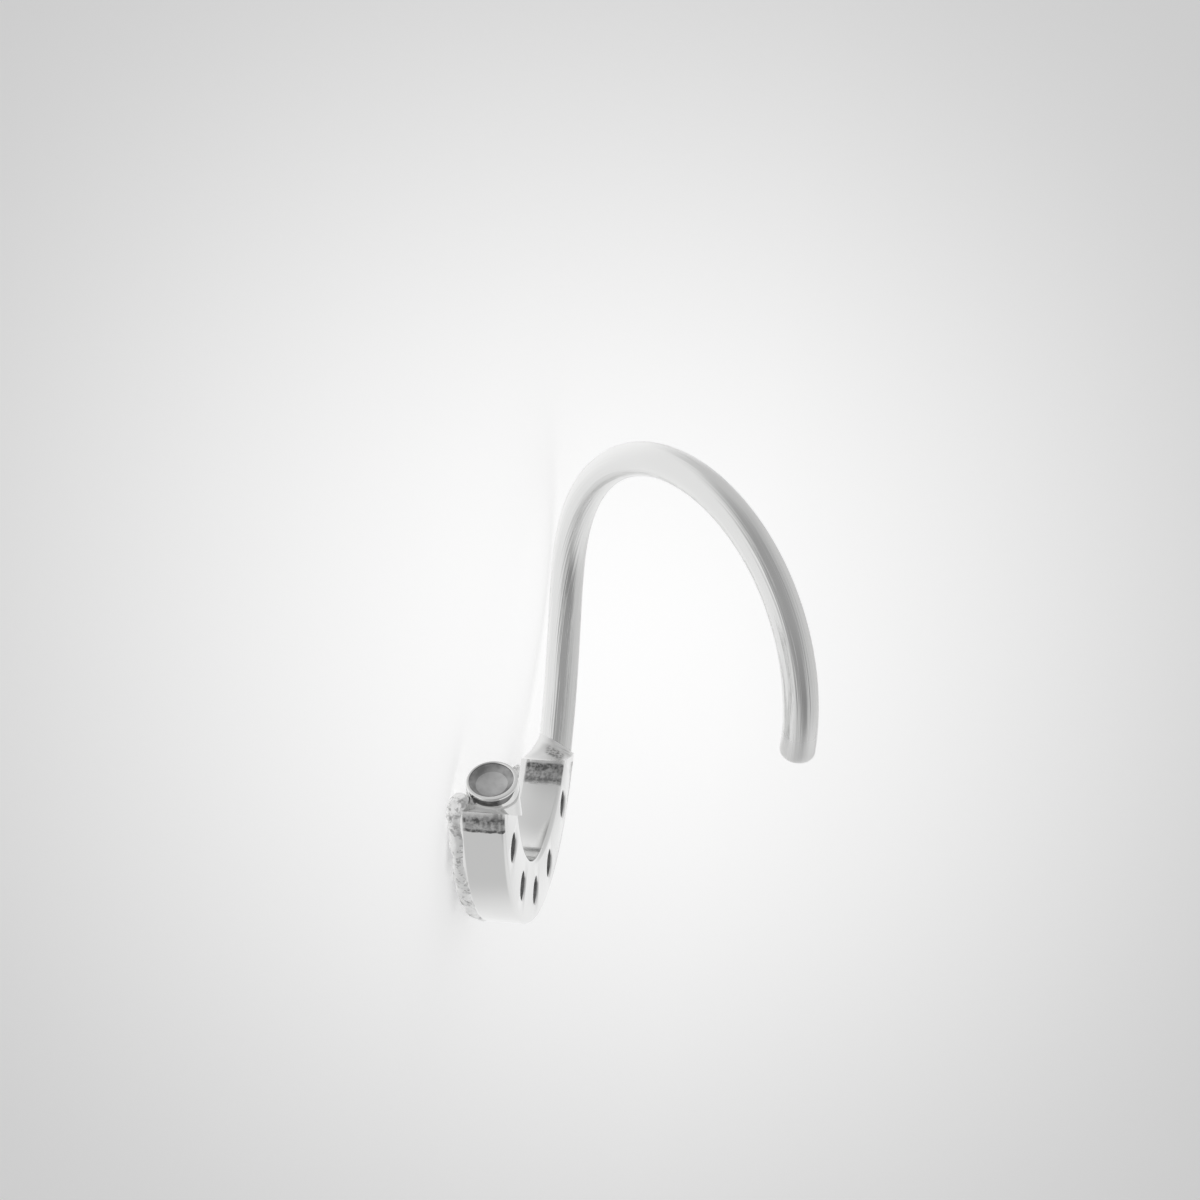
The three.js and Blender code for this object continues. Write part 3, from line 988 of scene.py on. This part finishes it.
# %% [markdown]
# ## Polished by hand
# White gold that was polished by hand is never a perfect mirror. Long shallow waves bend its
# reflections, and a trace of haze from the mop comes and goes. Both are noises on the place. The
# group gives out a roughness and a height, and each metal decides in its own nodes how strongly it
# uses them.

# %% Hand polish
HAZE_PATCHES = {"size": 0.9, "from": 0.35, "to": 0.75}  # mm, and how far up the noise
WAVES = {"wide": 1.6, "fine": 0.25, "share": 0.12}  # mm, and how much of the fine ones


def hand_polish():
    group, given, gives = new_group(
        "hand_polish",
        {
            "Place": ("NodeSocketVector", None),
            "Roughness": ("NodeSocketFloat", 0.08),
            "Haze": ("NodeSocketFloat", 0.1),
        },
        {"Roughness": "NodeSocketFloat", "Waves": "NodeSocketFloat"},
    )
    patches = noise_at(group, given["Place"], HAZE_PATCHES["size"], 3.0)
    hazy = soft_step(group, patches, HAZE_PATCHES["from"], HAZE_PATCHES["to"])
    rough = sums(group, "MULTIPLY_ADD", hazy, given["Haze"], given["Roughness"])
    group.links.new(rough, gives["Roughness"])
    wide = noise_at(group, given["Place"], WAVES["wide"], 1.0)
    fine = noise_at(group, given["Place"], WAVES["fine"], 2.0)
    group.links.new(sums(group, "MULTIPLY_ADD", fine, WAVES["share"], wide), gives["Waves"])
    return group


HAND_POLISH = hand_polish()
print("hand polish:", len(HAND_POLISH.nodes), "nodes")

# %% [markdown]
# ## Where the solder ran down
# Below each joint the solder ran a little way down the band's wall and stopped in a sharp edge.
# No mop reached it there, so it kept a dark, speckled skin. The patch is drawn on the ring's own
# coordinates: a ramp from the saw cut down to where the solder stopped, on the one wall that it ran down.
# The ramp's stops give the dark of the skin, and painted shade for the thin crevice at its lower edge, and
# a noise moves the edge about.

# %% Soldered skin
SKIN_EDGE = {"size": 0.25, "ragged": 0.08}  # mm along the edge, and mm that it moves up and down
SKIN_FADES = {"from": 0.2, "to": 0.12}  # mm below the band's front
WALL_SKIN = 0.08  # mm from the wall
RUN_SHOWN = 1.25  # the ramp goes this share past the end of the run


def end_angle(radius, end):
    """How far round the ring, from the bottom, a saw cut meets a wall."""
    slope = math.radians(end["slope"])
    return math.degrees(slope + math.acos(-end["height"] * math.cos(slope) / radius))


def soldered_skin(name, wall, top, bottom, stops):
    """How dark the skin is where solder ran down a wall from one angle of the ring to another, with painted
    shade at the crevice of its lower edge.
    """
    group, given, gives = new_group(
        name,
        {
            "Place": ("NodeSocketVector", None),
            "Angle": ("NodeSocketFloat", 0.0),
            "Radius": ("NodeSocketFloat", 0.0),
            "Height": ("NodeSocketFloat", 0.0),
        },
        {"Dark": "NodeSocketFloat"},
    )
    moved = SKIN_EDGE["ragged"] / (math.radians(abs(top - bottom)) * wall)
    ragged = noise_at(group, given["Place"], SKIN_EDGE["size"])
    ragged = sums(group, "MULTIPLY_ADD", ragged, moved, -moved / 2)
    run = put(group, "ShaderNodeMapRange", {0: given["Angle"], 1: top, 2: bottom}, clamp=False)
    run = sums(group, "ADD", run.outputs["Result"], ragged)
    ramp = put(group, "ShaderNodeValToRGB", {0: sums(group, "MULTIPLY", run, 1 / RUN_SHOWN)})
    elements = ramp.color_ramp.elements
    for _ in range(len(stops) - len(elements)):
        elements.new(0.5)
    for element, (at, dark) in zip(elements, stops):
        element.position = at / RUN_SHOWN
        element.color = (dark, dark, dark, 1)
    depth = sums(group, "ABSOLUTE", sums(group, "SUBTRACT", given["Radius"], wall))
    on_wall = soft_step(group, depth, WALL_SKIN, WALL_SKIN / 2)
    fades = (BAND_THICKNESS - SKIN_FADES["to"], BAND_THICKNESS - SKIN_FADES["from"])
    short = soft_step(group, given["Height"], *fades)
    on_wall = sums(group, "MULTIPLY", on_wall, short)
    group.links.new(sums(group, "MULTIPLY", ramp.outputs["Color"], on_wall), gives["Dark"])
    return group


WIRE_RUN = soldered_skin(
    "solder_ran_down_from_the_wire",
    INNER_RADIUS,
    end_angle(INNER_RADIUS, WIRE_END),
    end_angle(INNER_RADIUS, WIRE_END) - WIRE_RAN_DOWN["in"],
    [(0, 0), (0.08, 0.1), (0.16, 0.95), (0.26, 1), (0.5, 0.68), (0.82, 0.75), (0.94, 0.45), (1, 0)],
)
# painted shade: the stops from 0.96 to 1.04 darken the crevice at this skin's lower edge
SOCKET_RUN = soldered_skin(
    "solder_ran_down_from_the_socket",
    RING_RADIUS,
    -end_angle(RING_RADIUS, SOCKET_END),
    -end_angle(RING_RADIUS, SOCKET_END) + SOCKET_RAN_DOWN["out"],
    [(0, 0), (0.2, 0.4), (0.42, 0.95), (0.65, 0.62), (0.88, 0.5), (0.96, 1), (1.04, 1), (1.08, 0)],
)
cuts = end_angle(INNER_RADIUS, WIRE_END), -end_angle(RING_RADIUS, SOCKET_END)
print("the skins start at", *[round(degrees, 1) for degrees in cuts], "degrees of the ring")

# %% [markdown]
# ## White gold
# All the metal is the same alloy under a bright white plating, so one function makes every finish:
# a Principled shader with the hand polish in its roughness and in a bump node. A small table says
# how rough each finish is. The polished one takes the plating's colour and uses the rest as it is.

# %% Metal
PLATING = (0.87, 0.87, 0.865, 1)
WAVE_HEIGHT = 0.004 * MM
FINISHES = {  # how rough, and how much rougher where the polish is hazy
    "polished": (0.07, 0.07),
    "drawn": (0.12, 0.08),
    "worked": (0.28, 0.1),
    "soldered": (0.09, 0.1),
    "drilled": (0.38, 0.15),
}


def metal(name, finish):
    """A plated metal: its tree, its shader, its roughness and its bumped normal."""
    material = bpy.data.materials.new(name)
    material.use_nodes = True
    tree = material.node_tree
    shader = tree.nodes["Principled BSDF"]
    shader.inputs["Metallic"].default_value = 1.0
    place = in_millimetres(tree)
    polish = put(tree, "ShaderNodeGroup", node_tree=HAND_POLISH)
    tree.links.new(place, polish.inputs["Place"])
    roughness, haze = FINISHES[finish]
    polish.inputs["Roughness"].default_value = roughness
    polish.inputs["Haze"].default_value = haze
    waves = {"Distance": WAVE_HEIGHT, "Height": polish.outputs["Waves"]}
    bump = put(tree, "ShaderNodeBump", waves)
    return material, tree, shader, polish.outputs["Roughness"], bump.outputs["Normal"]


def bump_up(tree, shader, distance, height, normal):
    """Adds a second, finer relief to a metal's waves."""
    values = {"Distance": distance, "Height": height, "Normal": normal}
    tree.links.new(put(tree, "ShaderNodeBump", values).outputs["Normal"], shader.inputs["Normal"])


def polished(name):
    material, tree, shader, rough, normal = metal(name, "polished")
    shader.inputs["Base Color"].default_value = PLATING
    tree.links.new(rough, shader.inputs["Roughness"])
    tree.links.new(normal, shader.inputs["Normal"])
    return material


POLISHED = polished("polished_white_gold")
print(POLISHED.name, "has", len(POLISHED.node_tree.nodes), "nodes")

# %% [markdown]
# ## Drawn wire
# A draw plate leaves fine lines that run along the wire. They come from a noise that is stretched
# over the coordinates that the wire's vertices remember. Polished reflections break up along such
# lines, and that is how drawn wire is told from cast wire. The last part of the wire was rounded
# with a file, so it gets rougher towards the tip.

# %% Drawn metal
DRAW_LINES = {"height": 0.014 * MM, "wide": 0.05, "stretch": 60}
FILED_TIP = {"long": 0.9, "rough": 0.3}  # mm, and how much rougher at the very end


def drawn(name):
    material, tree, shader, rough, normal = metal(name, "drawn")
    shader.inputs["Base Color"].default_value = PLATING
    remembered = put(tree, "ShaderNodeAttribute", attribute_name="drawn").outputs["Vector"]
    stretched = (WIRE_RADIUS, WIRE_RADIUS, 1 / DRAW_LINES["stretch"])
    place = put(tree, "ShaderNodeMapping", {"Vector": remembered, "Scale": stretched}).outputs[0]
    bump_up(tree, shader, DRAW_LINES["height"], noise_at(tree, place, DRAW_LINES["wide"], 3.0), normal)
    length = put(tree, "ShaderNodeSeparateXYZ", {0: remembered}).outputs["Z"]
    whole = WIRE_SUNK + WIRE_LENGTH
    filed = soft_step(tree, length, whole - FILED_TIP["long"], whole, 0.0, FILED_TIP["rough"])
    tree.links.new(sums(tree, "ADD", rough, filed), shader.inputs["Roughness"])
    return material


DRAWN = drawn("drawn_wire")
print(DRAWN.name, "has", len(DRAWN.node_tree.nodes), "nodes")

# %% [markdown]
# ## Worked metal
# Where a graver and a punch were at work the metal is bright but lumpy, and dust and soot stay on
# it in spots. One noise gives both: the same blots are the height of the bump and, past a limit,
# the dark of the dirt. A darker colour for the dirt is enough, because the spots are so small.

# %% Worked finish
# the dark of the dirt spots, and of the painted shade in the solder's crevices
PIT = (0.16, 0.16, 0.16, 1)
PIT_ROUGH = 0.3  # how much rougher a spot is where it is fully dark
WORKED = {"from": 0.76, "to": 0.96, "dark": 0.5, "height": 0.012 * MM}
BLOTS = {"wide": 0.16, "fine": 0.05, "share": 0.5}  # mm, and how much of the fine ones


def darkened(tree, shader, dark, rough):
    """Goes from plating to the dark of dirt and of painted shade, in the colour and in the roughness."""
    tree.links.new(mixed_colour(tree, dark, PLATING, PIT), shader.inputs["Base Color"])
    tree.links.new(sums(tree, "MULTIPLY_ADD", dark, PIT_ROUGH, rough), shader.inputs["Roughness"])


def worked(name):
    material, tree, shader, rough, normal = metal(name, "worked")
    place = in_millimetres(tree)
    fine = noise_at(tree, place, BLOTS["fine"])
    blots = sums(tree, "MULTIPLY_ADD", fine, BLOTS["share"], noise_at(tree, place, BLOTS["wide"]))
    darkened(tree, shader, soft_step(tree, blots, WORKED["from"], WORKED["to"], 0.0, WORKED["dark"]), rough)
    bump_up(tree, shader, WORKED["height"], blots, normal)
    return material


RAISED = worked("worked_white_gold")
print(RAISED.name, "has", len(RAISED.node_tree.nodes), "nodes")

# %% [markdown]
# ## Soldered metal
# Solder that is left as it froze shows how it was made, and four masks paint that, together with painted
# shade in its crevices. Near the top of the wire's skirt, painted shade darkens a crevice on the side of
# the ring's middle, between two levels that lean as the skirt's edge does. Above the saw cuts the solder is
# frosted, and at the socket the pickle that cleaned it left a white bloom, which takes some of the metal's
# shine away. The skin of the solder that ran down the band's walls is dark, with painted shade in the
# crevice at its lower edge, as its own group says. And the band's inside shows one fine dark line at one
# angle.

# %% Marks of solder
# painted shade: the crevice under the wire's solder is darkened in its colour
CREVICE = {"top": -0.13, "bottom": -0.52, "soft": 0.12, "dark": 0.6}  # mm from the solder's top edge
CREVICE_SIDES = [  # where the crevice ends, fading between two places in mm
    {"along": "Height", "gone": 0.6, "full": 0.46},
    {"along": "Height", "gone": 0.04, "full": 0.16},
    {"along": "Radius", "gone": BAND_MIDDLE - 0.1, "full": BAND_MIDDLE - 0.3},
]
CREVICE_SPECKLES = {"from": 0.62, "to": 0.42, "least": 0.45}  # of the grain noise
FROST_LINE = {"under": 0.02, "over": 0.04}  # mm from a saw cut
SEAM = {"angle": 22.5, "wide": 0.9, "dark": 0.35}  # degrees of the ring, on the inner wall
INNER_WALL = {"full": 0.01, "gone": 0.02}  # mm from the wall


def crevice(tree, where, grain):
    """How dark the painted shade in the crevice under the wire's solder is."""
    off = vectors(tree, "SUBTRACT", where["Place"], WIRE_FOOT + WIRE_AHEAD * WIRE_SOLDER_TOP)[0]
    leaning = WIRE_AHEAD - RING_AXIS * (WIRE_SOLDER_EDGE["lean"] / WIRE_RADIUS)
    level = vectors(tree, "DOT_PRODUCT", off, leaning)["Value"]
    top, bottom, soft = CREVICE["top"], CREVICE["bottom"], CREVICE["soft"]
    dark = soft_step(tree, level, top, top - soft, 0.0, CREVICE["dark"])
    speckles = CREVICE_SPECKLES["from"], CREVICE_SPECKLES["to"], CREVICE_SPECKLES["least"]
    limits = [
        soft_step(tree, level, bottom, bottom + soft),
        *(soft_step(tree, where[side["along"]], side["gone"], side["full"]) for side in CREVICE_SIDES),
        soft_step(tree, grain, *speckles, 1.0),
    ]
    for limit in limits:
        dark = sums(tree, "MULTIPLY", dark, limit)
    return dark


def frost(tree, where, end, side, most):
    """How much rougher the solder above one of the saw cuts is."""
    up = cut_normal(end)
    above = vectors(tree, "DOT_PRODUCT", where["Place"], up)["Value"]
    cut = end["height"] * up.z
    over = soft_step(tree, above, cut - FROST_LINE["under"], cut + FROST_LINE["over"])
    x = put(tree, "ShaderNodeSeparateXYZ", {0: where["Place"]}).outputs["X"]
    return sums(tree, "MULTIPLY", over, soft_step(tree, x, 0.0, side, 0.0, most))


def seam(tree, where):
    """How dark the fine line across the band's inside is."""
    away = sums(tree, "ABSOLUTE", sums(tree, "SUBTRACT", where["Angle"], SEAM["angle"]))
    line = soft_step(tree, away, SEAM["wide"] / 2, 0.0, 0.0, SEAM["dark"])
    inside = soft_step(
        tree, where["Radius"], INNER_RADIUS + INNER_WALL["gone"], INNER_RADIUS + INNER_WALL["full"]
    )
    return sums(tree, "MULTIPLY", line, inside)


# %% [markdown]
# The finish itself only has to place the groups and masks. The skin and the crevice's painted shade are
# broken up into speckles by a grain with wider patches in it. The same grain, wherever there is skin,
# crevice shade or frost, is the height of a fine bump.

# %% Soldered finish
SPECKLE_HEIGHT = 0.005 * MM
SPECKLE_SIZES = {"grain": 0.07, "patches": 0.2, "share": 0.6}  # mm, and how much of the patches
SPECKLES = {"from": 1.0, "to": 0.6, "least": 0.62, "most": 1.2}
FROSTED = {"wire": 0.3, "socket": 0.8}  # how much rougher the solder is, left as it froze
BLOOM = 0.85  # how much of the socket solder's shine the pickle's white skin takes


def skin_dark(tree, where):
    """How dark the skins are where solder ran down from the wire and from the socket, with the painted
    shade at their lower edges.
    """
    darks = []
    for group in (WIRE_RUN, SOCKET_RUN):
        run = put(tree, "ShaderNodeGroup", node_tree=group)
        for title in ("Place", "Angle", "Radius", "Height"):
            tree.links.new(where[title], run.inputs[title])
        darks.append(run.outputs["Dark"])
    return sums(tree, "MAXIMUM", *darks)


def soldered(name):
    material, tree, shader, rough, normal = metal(name, "soldered")
    where = put(tree, "ShaderNodeGroup", node_tree=RING_PLACE).outputs
    grain = noise_at(tree, where["Place"], SPECKLE_SIZES["grain"], 2.0)
    skin = sums(tree, "MAXIMUM", skin_dark(tree, where), crevice(tree, where, grain))
    by_wire = frost(tree, where, WIRE_END, 1, FROSTED["wire"])
    by_socket = frost(tree, where, SOCKET_END, -1, FROSTED["socket"])
    frosted = sums(tree, "MAXIMUM", by_wire, by_socket)
    tree.links.new(sums(tree, "MULTIPLY_ADD", by_socket, -BLOOM, 1.0), shader.inputs["Metallic"])
    patches = noise_at(tree, where["Place"], SPECKLE_SIZES["patches"], 1.0)
    speckle = sums(tree, "MULTIPLY_ADD", patches, SPECKLE_SIZES["share"], grain)
    broken = soft_step(tree, speckle, *(SPECKLES[key] for key in ("from", "to", "least", "most")))
    values = {0: seam(tree, where), 1: sums(tree, "MULTIPLY", skin, broken)}
    dark = put(tree, "ShaderNodeMath", values, operation="ADD", use_clamp=True).outputs[0]
    darkened(tree, shader, dark, sums(tree, "ADD", rough, frosted))
    height = sums(tree, "MULTIPLY", grain, sums(tree, "MAXIMUM", skin, frosted))
    bump_up(tree, shader, SPECKLE_HEIGHT, height, normal)
    return material


SOLDERED = soldered("soldered_white_gold")
print(SOLDERED.name, "has", len(SOLDERED.node_tree.nodes), "nodes")

# %% [markdown]
# ## Left as drilled
# Drills and gravers leave the seats, the holes and the socket's cup duller than the outside, and polishing
# dust stays in them. The same metal gets a darker colour and a rougher surface, with short random scratches
# from a stretched noise. The cup's flat bottom is the brightest of the three, and the crescent under the
# socket's lip is the darkest, its dark colour a painted shade.

# %% Drilled metal
DUST = {"size": 0.2, "from": 0.35, "to": 0.7}  # mm, and how far up the noise
SCRATCHES = {"height": 0.002 * MM, "wide": 0.03, "squeezed": 0.15}


def drilled(name, clean, dusty):
    material, tree, shader, rough, normal = metal(name, "drilled")
    place = in_millimetres(tree)
    dust = soft_step(tree, noise_at(tree, place, DUST["size"], 3.0), DUST["from"], DUST["to"])
    colours = [(tone, tone, tone, 1) for tone in (clean, dusty)]
    tree.links.new(mixed_colour(tree, dust, *colours), shader.inputs["Base Color"])
    tree.links.new(rough, shader.inputs["Roughness"])
    squeezed = {"Vector": place, "Scale": (SCRATCHES["squeezed"], 1.0, 1.0)}
    along = put(tree, "ShaderNodeMapping", squeezed).outputs[0]
    bump_up(tree, shader, SCRATCHES["height"], noise_at(tree, along, SCRATCHES["wide"], 2.0), normal)
    return material


DRILLED = drilled("drilled_white_gold", clean=0.48, dusty=0.3)
CUP_BOTTOM = drilled("cup_bottom", clean=0.62, dusty=0.54)
# the crescent's dark colour is painted shade under the socket's lip
UNPOLISHED = drilled("crescent_shade_white_gold", clean=0.3, dusty=0.14)
print("duller finishes:", DRILLED.name, CUP_BOTTOM.name, UNPOLISHED.name)

# %% [markdown]
# ## The stones' glass
# A colourless stone is glass with a high index of refraction and almost no roughness: its look is
# all in its facets. Nothing else is needed, apart from a trace of haze that handling leaves.

# %% Clear stone
STONE_INDEX = 2.2
STONE_COLOUR = (0.99, 0.995, 1.0, 1)
HANDLED = {"size": 0.4, "from": 0.4, "to": 0.8, "rough": 0.05}  # mm, and how far up the noise


def clear_stone():
    material = bpy.data.materials.new("clear_stone")
    material.use_nodes = True
    tree = material.node_tree
    shader = tree.nodes["Principled BSDF"]
    shader.inputs["Base Color"].default_value = STONE_COLOUR
    shader.inputs["Transmission Weight"].default_value = 1.0
    shader.inputs["IOR"].default_value = STONE_INDEX
    haze = noise_at(tree, in_millimetres(tree), HANDLED["size"], 2.0)
    rough = soft_step(tree, haze, HANDLED["from"], HANDLED["to"], 0.0, HANDLED["rough"])
    tree.links.new(rough, shader.inputs["Roughness"])
    return material


CLEAR = clear_stone()
print(CLEAR.name, "bends light by an index of", STONE_INDEX)

# %% [markdown]
# ## Putting the pieces together
# Each piece now gets its mesh and its finish. The band stands for the CAD model's metal, and the
# other pieces of metal sit on it or in it. The faces inside a seat or a hole are found by their distance
# from the stone's axis and get the drilled finish. The socket's faces are sorted by how deep they
# lie and how far from the tube's axis.

# %% Make the metal
def mark_drilled(bm, axes, reach, above, below):
    """Gives the second finish to faces near one of some upright lines, between two heights."""
    marked = 0
    for face in bm.faces:
        middle = face.calc_center_median()
        off = min(Vector((middle.x - axis.x, middle.z - axis.z)).length for axis in axes)
        if off < reach and above < middle.y < below:
            face.material_index = 1
            marked += 1
    print("drilled faces:", marked)


def mark_socket(bm):
    """The drilled wall gets the second finish, the cup's bottom the third, the crescent the last."""
    for face in bm.faces:
        deep, across = in_socket(face.calc_center_median())
        if SOCKET_LIP < deep < SOCKET_DEPTH + TINY and across.length < SOCKET_RADIUS - SOCKET_LIP:
            face.material_index = 2 if deep > SOCKET_DEPTH - TINY else 1
        # the crescent under the lip gets the painted shade
        elif SOCKET_DULL["from"] < deep < SOCKET_DULL["to"]:
            if math.degrees(across.angle(SOCKET_BELOW)) < SOCKET_DULL["reach"]:
                face.material_index = 3


seat_axes = [ring_point(BAND_MIDDLE, degrees) for degrees in STONE_ANGLES]
mark_drilled(band_bm, seat_axes, STONE_DIAMETER / 2 + SEAT_GAP + TINY, HOLE_ROUND, STONE_LEVEL - TINY)
band = make_piece("band", band_bm, [SOLDERED, DRILLED])
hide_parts("soldered_hoop")
make_piece("grains", grains(), [RAISED])
make_piece("raised_rims", raised_rims(), [RAISED])
make_piece("end_beads", end_beads(), [RAISED])
make_piece("wire", wire(), [DRAWN])
make_piece("wire_solder", wire_solder(), [SOLDERED])
make_piece("socket_solder", socket_solder(), [SOLDERED])
socket_bm = socket()
mark_socket(socket_bm)
make_piece("socket", socket_bm, [POLISHED, DRILLED, CUP_BOTTOM, UNPOLISHED])

# %% [markdown]
# Each brilliant stands for its own CAD stone. All the edges between facets stay crisp, so the angle
# from which an edge counts as sharp is very small.

# %% Make the stones
FACET_SHARP = 1  # degrees
for number, degrees in enumerate(STONE_ANGLES, 1):
    stone = make_piece(f"brilliant_{number}", brilliant(degrees), [CLEAR], FACET_SHARP)
    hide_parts(f"stone_{number}")

# %% [markdown]
# ## The card
# The hoop lies on white card. Around it the same card sweeps up in a wide bowl, so no view shows an edge or
# a corner. It could be lit evenly, but a soft round pool of light in the middle draws the eye to a small
# white thing, so that pool is painted into the card's colour, which grows darker towards the edges. The
# painted glow is laid out here as a lamp would throw it, as an angle about a line from a point in front of
# the stage. The card also glows faintly by itself, a painted light with no lamp under it, which keeps the
# shadows soft and pale. The card stays out of reflections: what the metal sees is set by the room, further
# down.

# %% Card
FLAT_RADIUS = 60 * MM
BOWL_RADIUS = 300 * MM
BOWL_STEEP = 420 * MM
BOWL_STEPS = 48
BOWL_SIDES = 128
# a painted pool of light: the card's colour is brightest along this line and darker off it
GLOW_FROM = Vector((-3, 60, 10)) * MM
GLOW_ALONG = Vector((0.075, -0.987, -0.135)).normalized()
GLOW_REACH = math.radians(19.5)
CARD = 0.93
CARD_EDGE = 0.61  # of the middle's brightness
# the card glows by itself, a painted light with no lamp under it
CARD_LIT_FROM_BELOW = 0.51
CARD_SHINE = 0.1  # much less than the shader's usual half
FIBRES = {"size": 0.35, "height": 0.003 * MM, "smooth": 0.75, "rough": 0.9}


def white_card():
    material = bpy.data.materials.new("white_card")
    material.use_nodes = True
    tree = material.node_tree
    shader = tree.nodes["Principled BSDF"]
    shader.inputs["Specular IOR Level"].default_value = CARD_SHINE
    place = put(tree, "ShaderNodeTexCoord").outputs["Object"]
    way = vectors(tree, "NORMALIZE", vectors(tree, "SUBTRACT", place, GLOW_FROM)[0])[0]
    off = sums(tree, "ARCCOSINE", vectors(tree, "DOT_PRODUCT", way, GLOW_ALONG)["Value"])
    # the painted pool of light goes into the card's colour and into its glow
    tone = soft_step(tree, off, 0.0, GLOW_REACH, CARD, CARD * CARD_EDGE)
    tree.links.new(tone, shader.inputs["Base Color"])
    tree.links.new(tone, shader.inputs["Emission Color"])
    shader.inputs["Emission Strength"].default_value = CARD_LIT_FROM_BELOW
    fibres = noise_at(tree, in_millimetres(tree), FIBRES["size"], 4.0)
    rough = soft_step(tree, fibres, 0.0, 1.0, FIBRES["smooth"], FIBRES["rough"])
    tree.links.new(rough, shader.inputs["Roughness"])
    bump = put(tree, "ShaderNodeBump", {"Distance": FIBRES["height"], "Height": fibres})
    tree.links.new(bump.outputs["Normal"], shader.inputs["Normal"])
    return material


def bowl():
    """A flat floor that goes over into a wide bowl, in metres."""
    width = BOWL_RADIUS - FLAT_RADIUS
    radii = [FLAT_RADIUS + width * step / BOWL_STEPS for step in range(BOWL_STEPS + 1)]
    points = [(radius, 0, (radius - FLAT_RADIUS) ** 2 / BOWL_STEEP) for radius in radii]
    bm = bmesh.new()
    spun(bm, [(0, 0, 0), *points], (0, 0, 0), (0, 0, 1), BOWL_SIDES)
    bmesh.ops.recalc_face_normals(bm, faces=bm.faces)
    bm.faces.ensure_lookup_table()
    if bm.faces[0].normal.z < 0:
        bmesh.ops.reverse_faces(bm, faces=bm.faces)
    for face in bm.faces:
        face.smooth = True
    return bm


def lay_card():
    bm = bowl()
    mesh = bpy.data.meshes.new("card")
    bm.to_mesh(mesh)
    bm.free()
    mesh.materials.append(white_card())
    made = bpy.data.objects.new("card", mesh)
    bpy.context.scene.collection.objects.link(made)
    made.visible_glossy = False
    made.visible_transmission = False
    return made


card = lay_card()
print("card:", len(card.data.polygons), "faces")

# %% [markdown]
# ## The room that the metal sees
# Polished metal shows everything around it, and a plain card all round would leave it flat. So
# the metal and the stones see a room: pale card below, a soft glow behind the hoop, greyer walls
# and ceiling, and a dark camera with a person behind it. Those darks draw the streaks along the
# wire. Everything in the room is a soft round patch, laid over those before it, and given by its
# direction in degrees, how far it is full and where it ends. All other rays see one plain white,
# which lights the card evenly from all sides.

# %% Room
ROOM_WALLS = 0.6
ROOM_PATCHES = [  # degrees, and how bright
    {"azimuth": -22, "elevation": 16, "full": 1, "ends": 52, "level": 0.88},
    {"azimuth": -142, "elevation": 28, "full": 14, "ends": 44, "level": 0.24},
    {"azimuth": 171, "elevation": 15, "full": 1, "ends": 76, "level": 0.36},
    {"azimuth": 0, "elevation": -90, "full": 50, "ends": 80, "level": 0.86},
    {"azimuth": 18, "elevation": -36, "full": 1, "ends": 61, "level": 0.99},
    {"azimuth": 102, "elevation": 30, "full": 1, "ends": 16, "level": 0.52},
    {"azimuth": -57, "elevation": 38, "full": 1, "ends": 32, "level": 0.8},
    {"azimuth": 23, "elevation": 40, "full": 1, "ends": 37, "level": 0.64},
]
FILL = 0.485


def heading(azimuth, elevation):
    """A direction. Azimuth 0 is behind the hoop, and 90 is towards +X."""
    across, up = math.radians(azimuth), math.radians(elevation)
    return Vector((math.sin(across) * math.cos(up), -math.cos(across) * math.cos(up), math.sin(up)))


def room():
    world = bpy.data.worlds.new("room")
    bpy.context.scene.world = world
    world.use_nodes = True
    tree = world.node_tree
    way = put(tree, "ShaderNodeTexCoord").outputs["Generated"]
    level = ROOM_WALLS
    for patch in ROOM_PATCHES:
        centre = heading(patch["azimuth"], patch["elevation"])
        near = vectors(tree, "DOT_PRODUCT", way, centre)["Value"]
        edge, full = (math.cos(math.radians(patch[key])) for key in ("ends", "full"))
        level = blend(tree, soft_step(tree, near, edge, full), level, patch["level"])
    path = put(tree, "ShaderNodeLightPath").outputs
    by_metal = sums(tree, "MAXIMUM", path["Is Glossy Ray"], path["Is Transmission Ray"])
    background = tree.nodes["Background"]
    background.inputs["Color"].default_value = (1, 1, 1, 1)
    tree.links.new(blend(tree, by_metal, FILL, level), background.inputs["Strength"])


room()
darkest = min(ROOM_PATCHES, key=lambda patch: patch["level"])
print("room:", len(ROOM_PATCHES), "patches, the darkest at azimuth", darkest["azimuth"])

# %% [markdown]
# ## The lamp
# One wide soft lamp above adds the gentle shadow under the hoop. It's left out of reflections,
# which the room already holds. The Standard view then shows every tone just as it is worked out,
# which white card and white metal need.

# %% Lamp
LAMP_AT = Vector((40, -60, 160)) * MM
LAMP_SIZE = 220 * MM
LAMP_WATTS = 0.02


def lamp():
    data = bpy.data.lights.new("softbox", "AREA")
    data.shape = "DISK"
    data.size = LAMP_SIZE
    data.energy = LAMP_WATTS
    made = bpy.data.objects.new("softbox", data)
    made.location = LAMP_AT
    made.rotation_euler = (LAMP_AT * -1).to_track_quat("-Z", "Y").to_euler()
    made.visible_glossy = False
    made.visible_transmission = False
    made.visible_camera = False
    bpy.context.scene.collection.objects.link(made)
    return made


print("the lamp hangs", round(lamp().location.length, 3), "m from the hoop")
bpy.context.scene.view_settings.view_transform = "Standard"
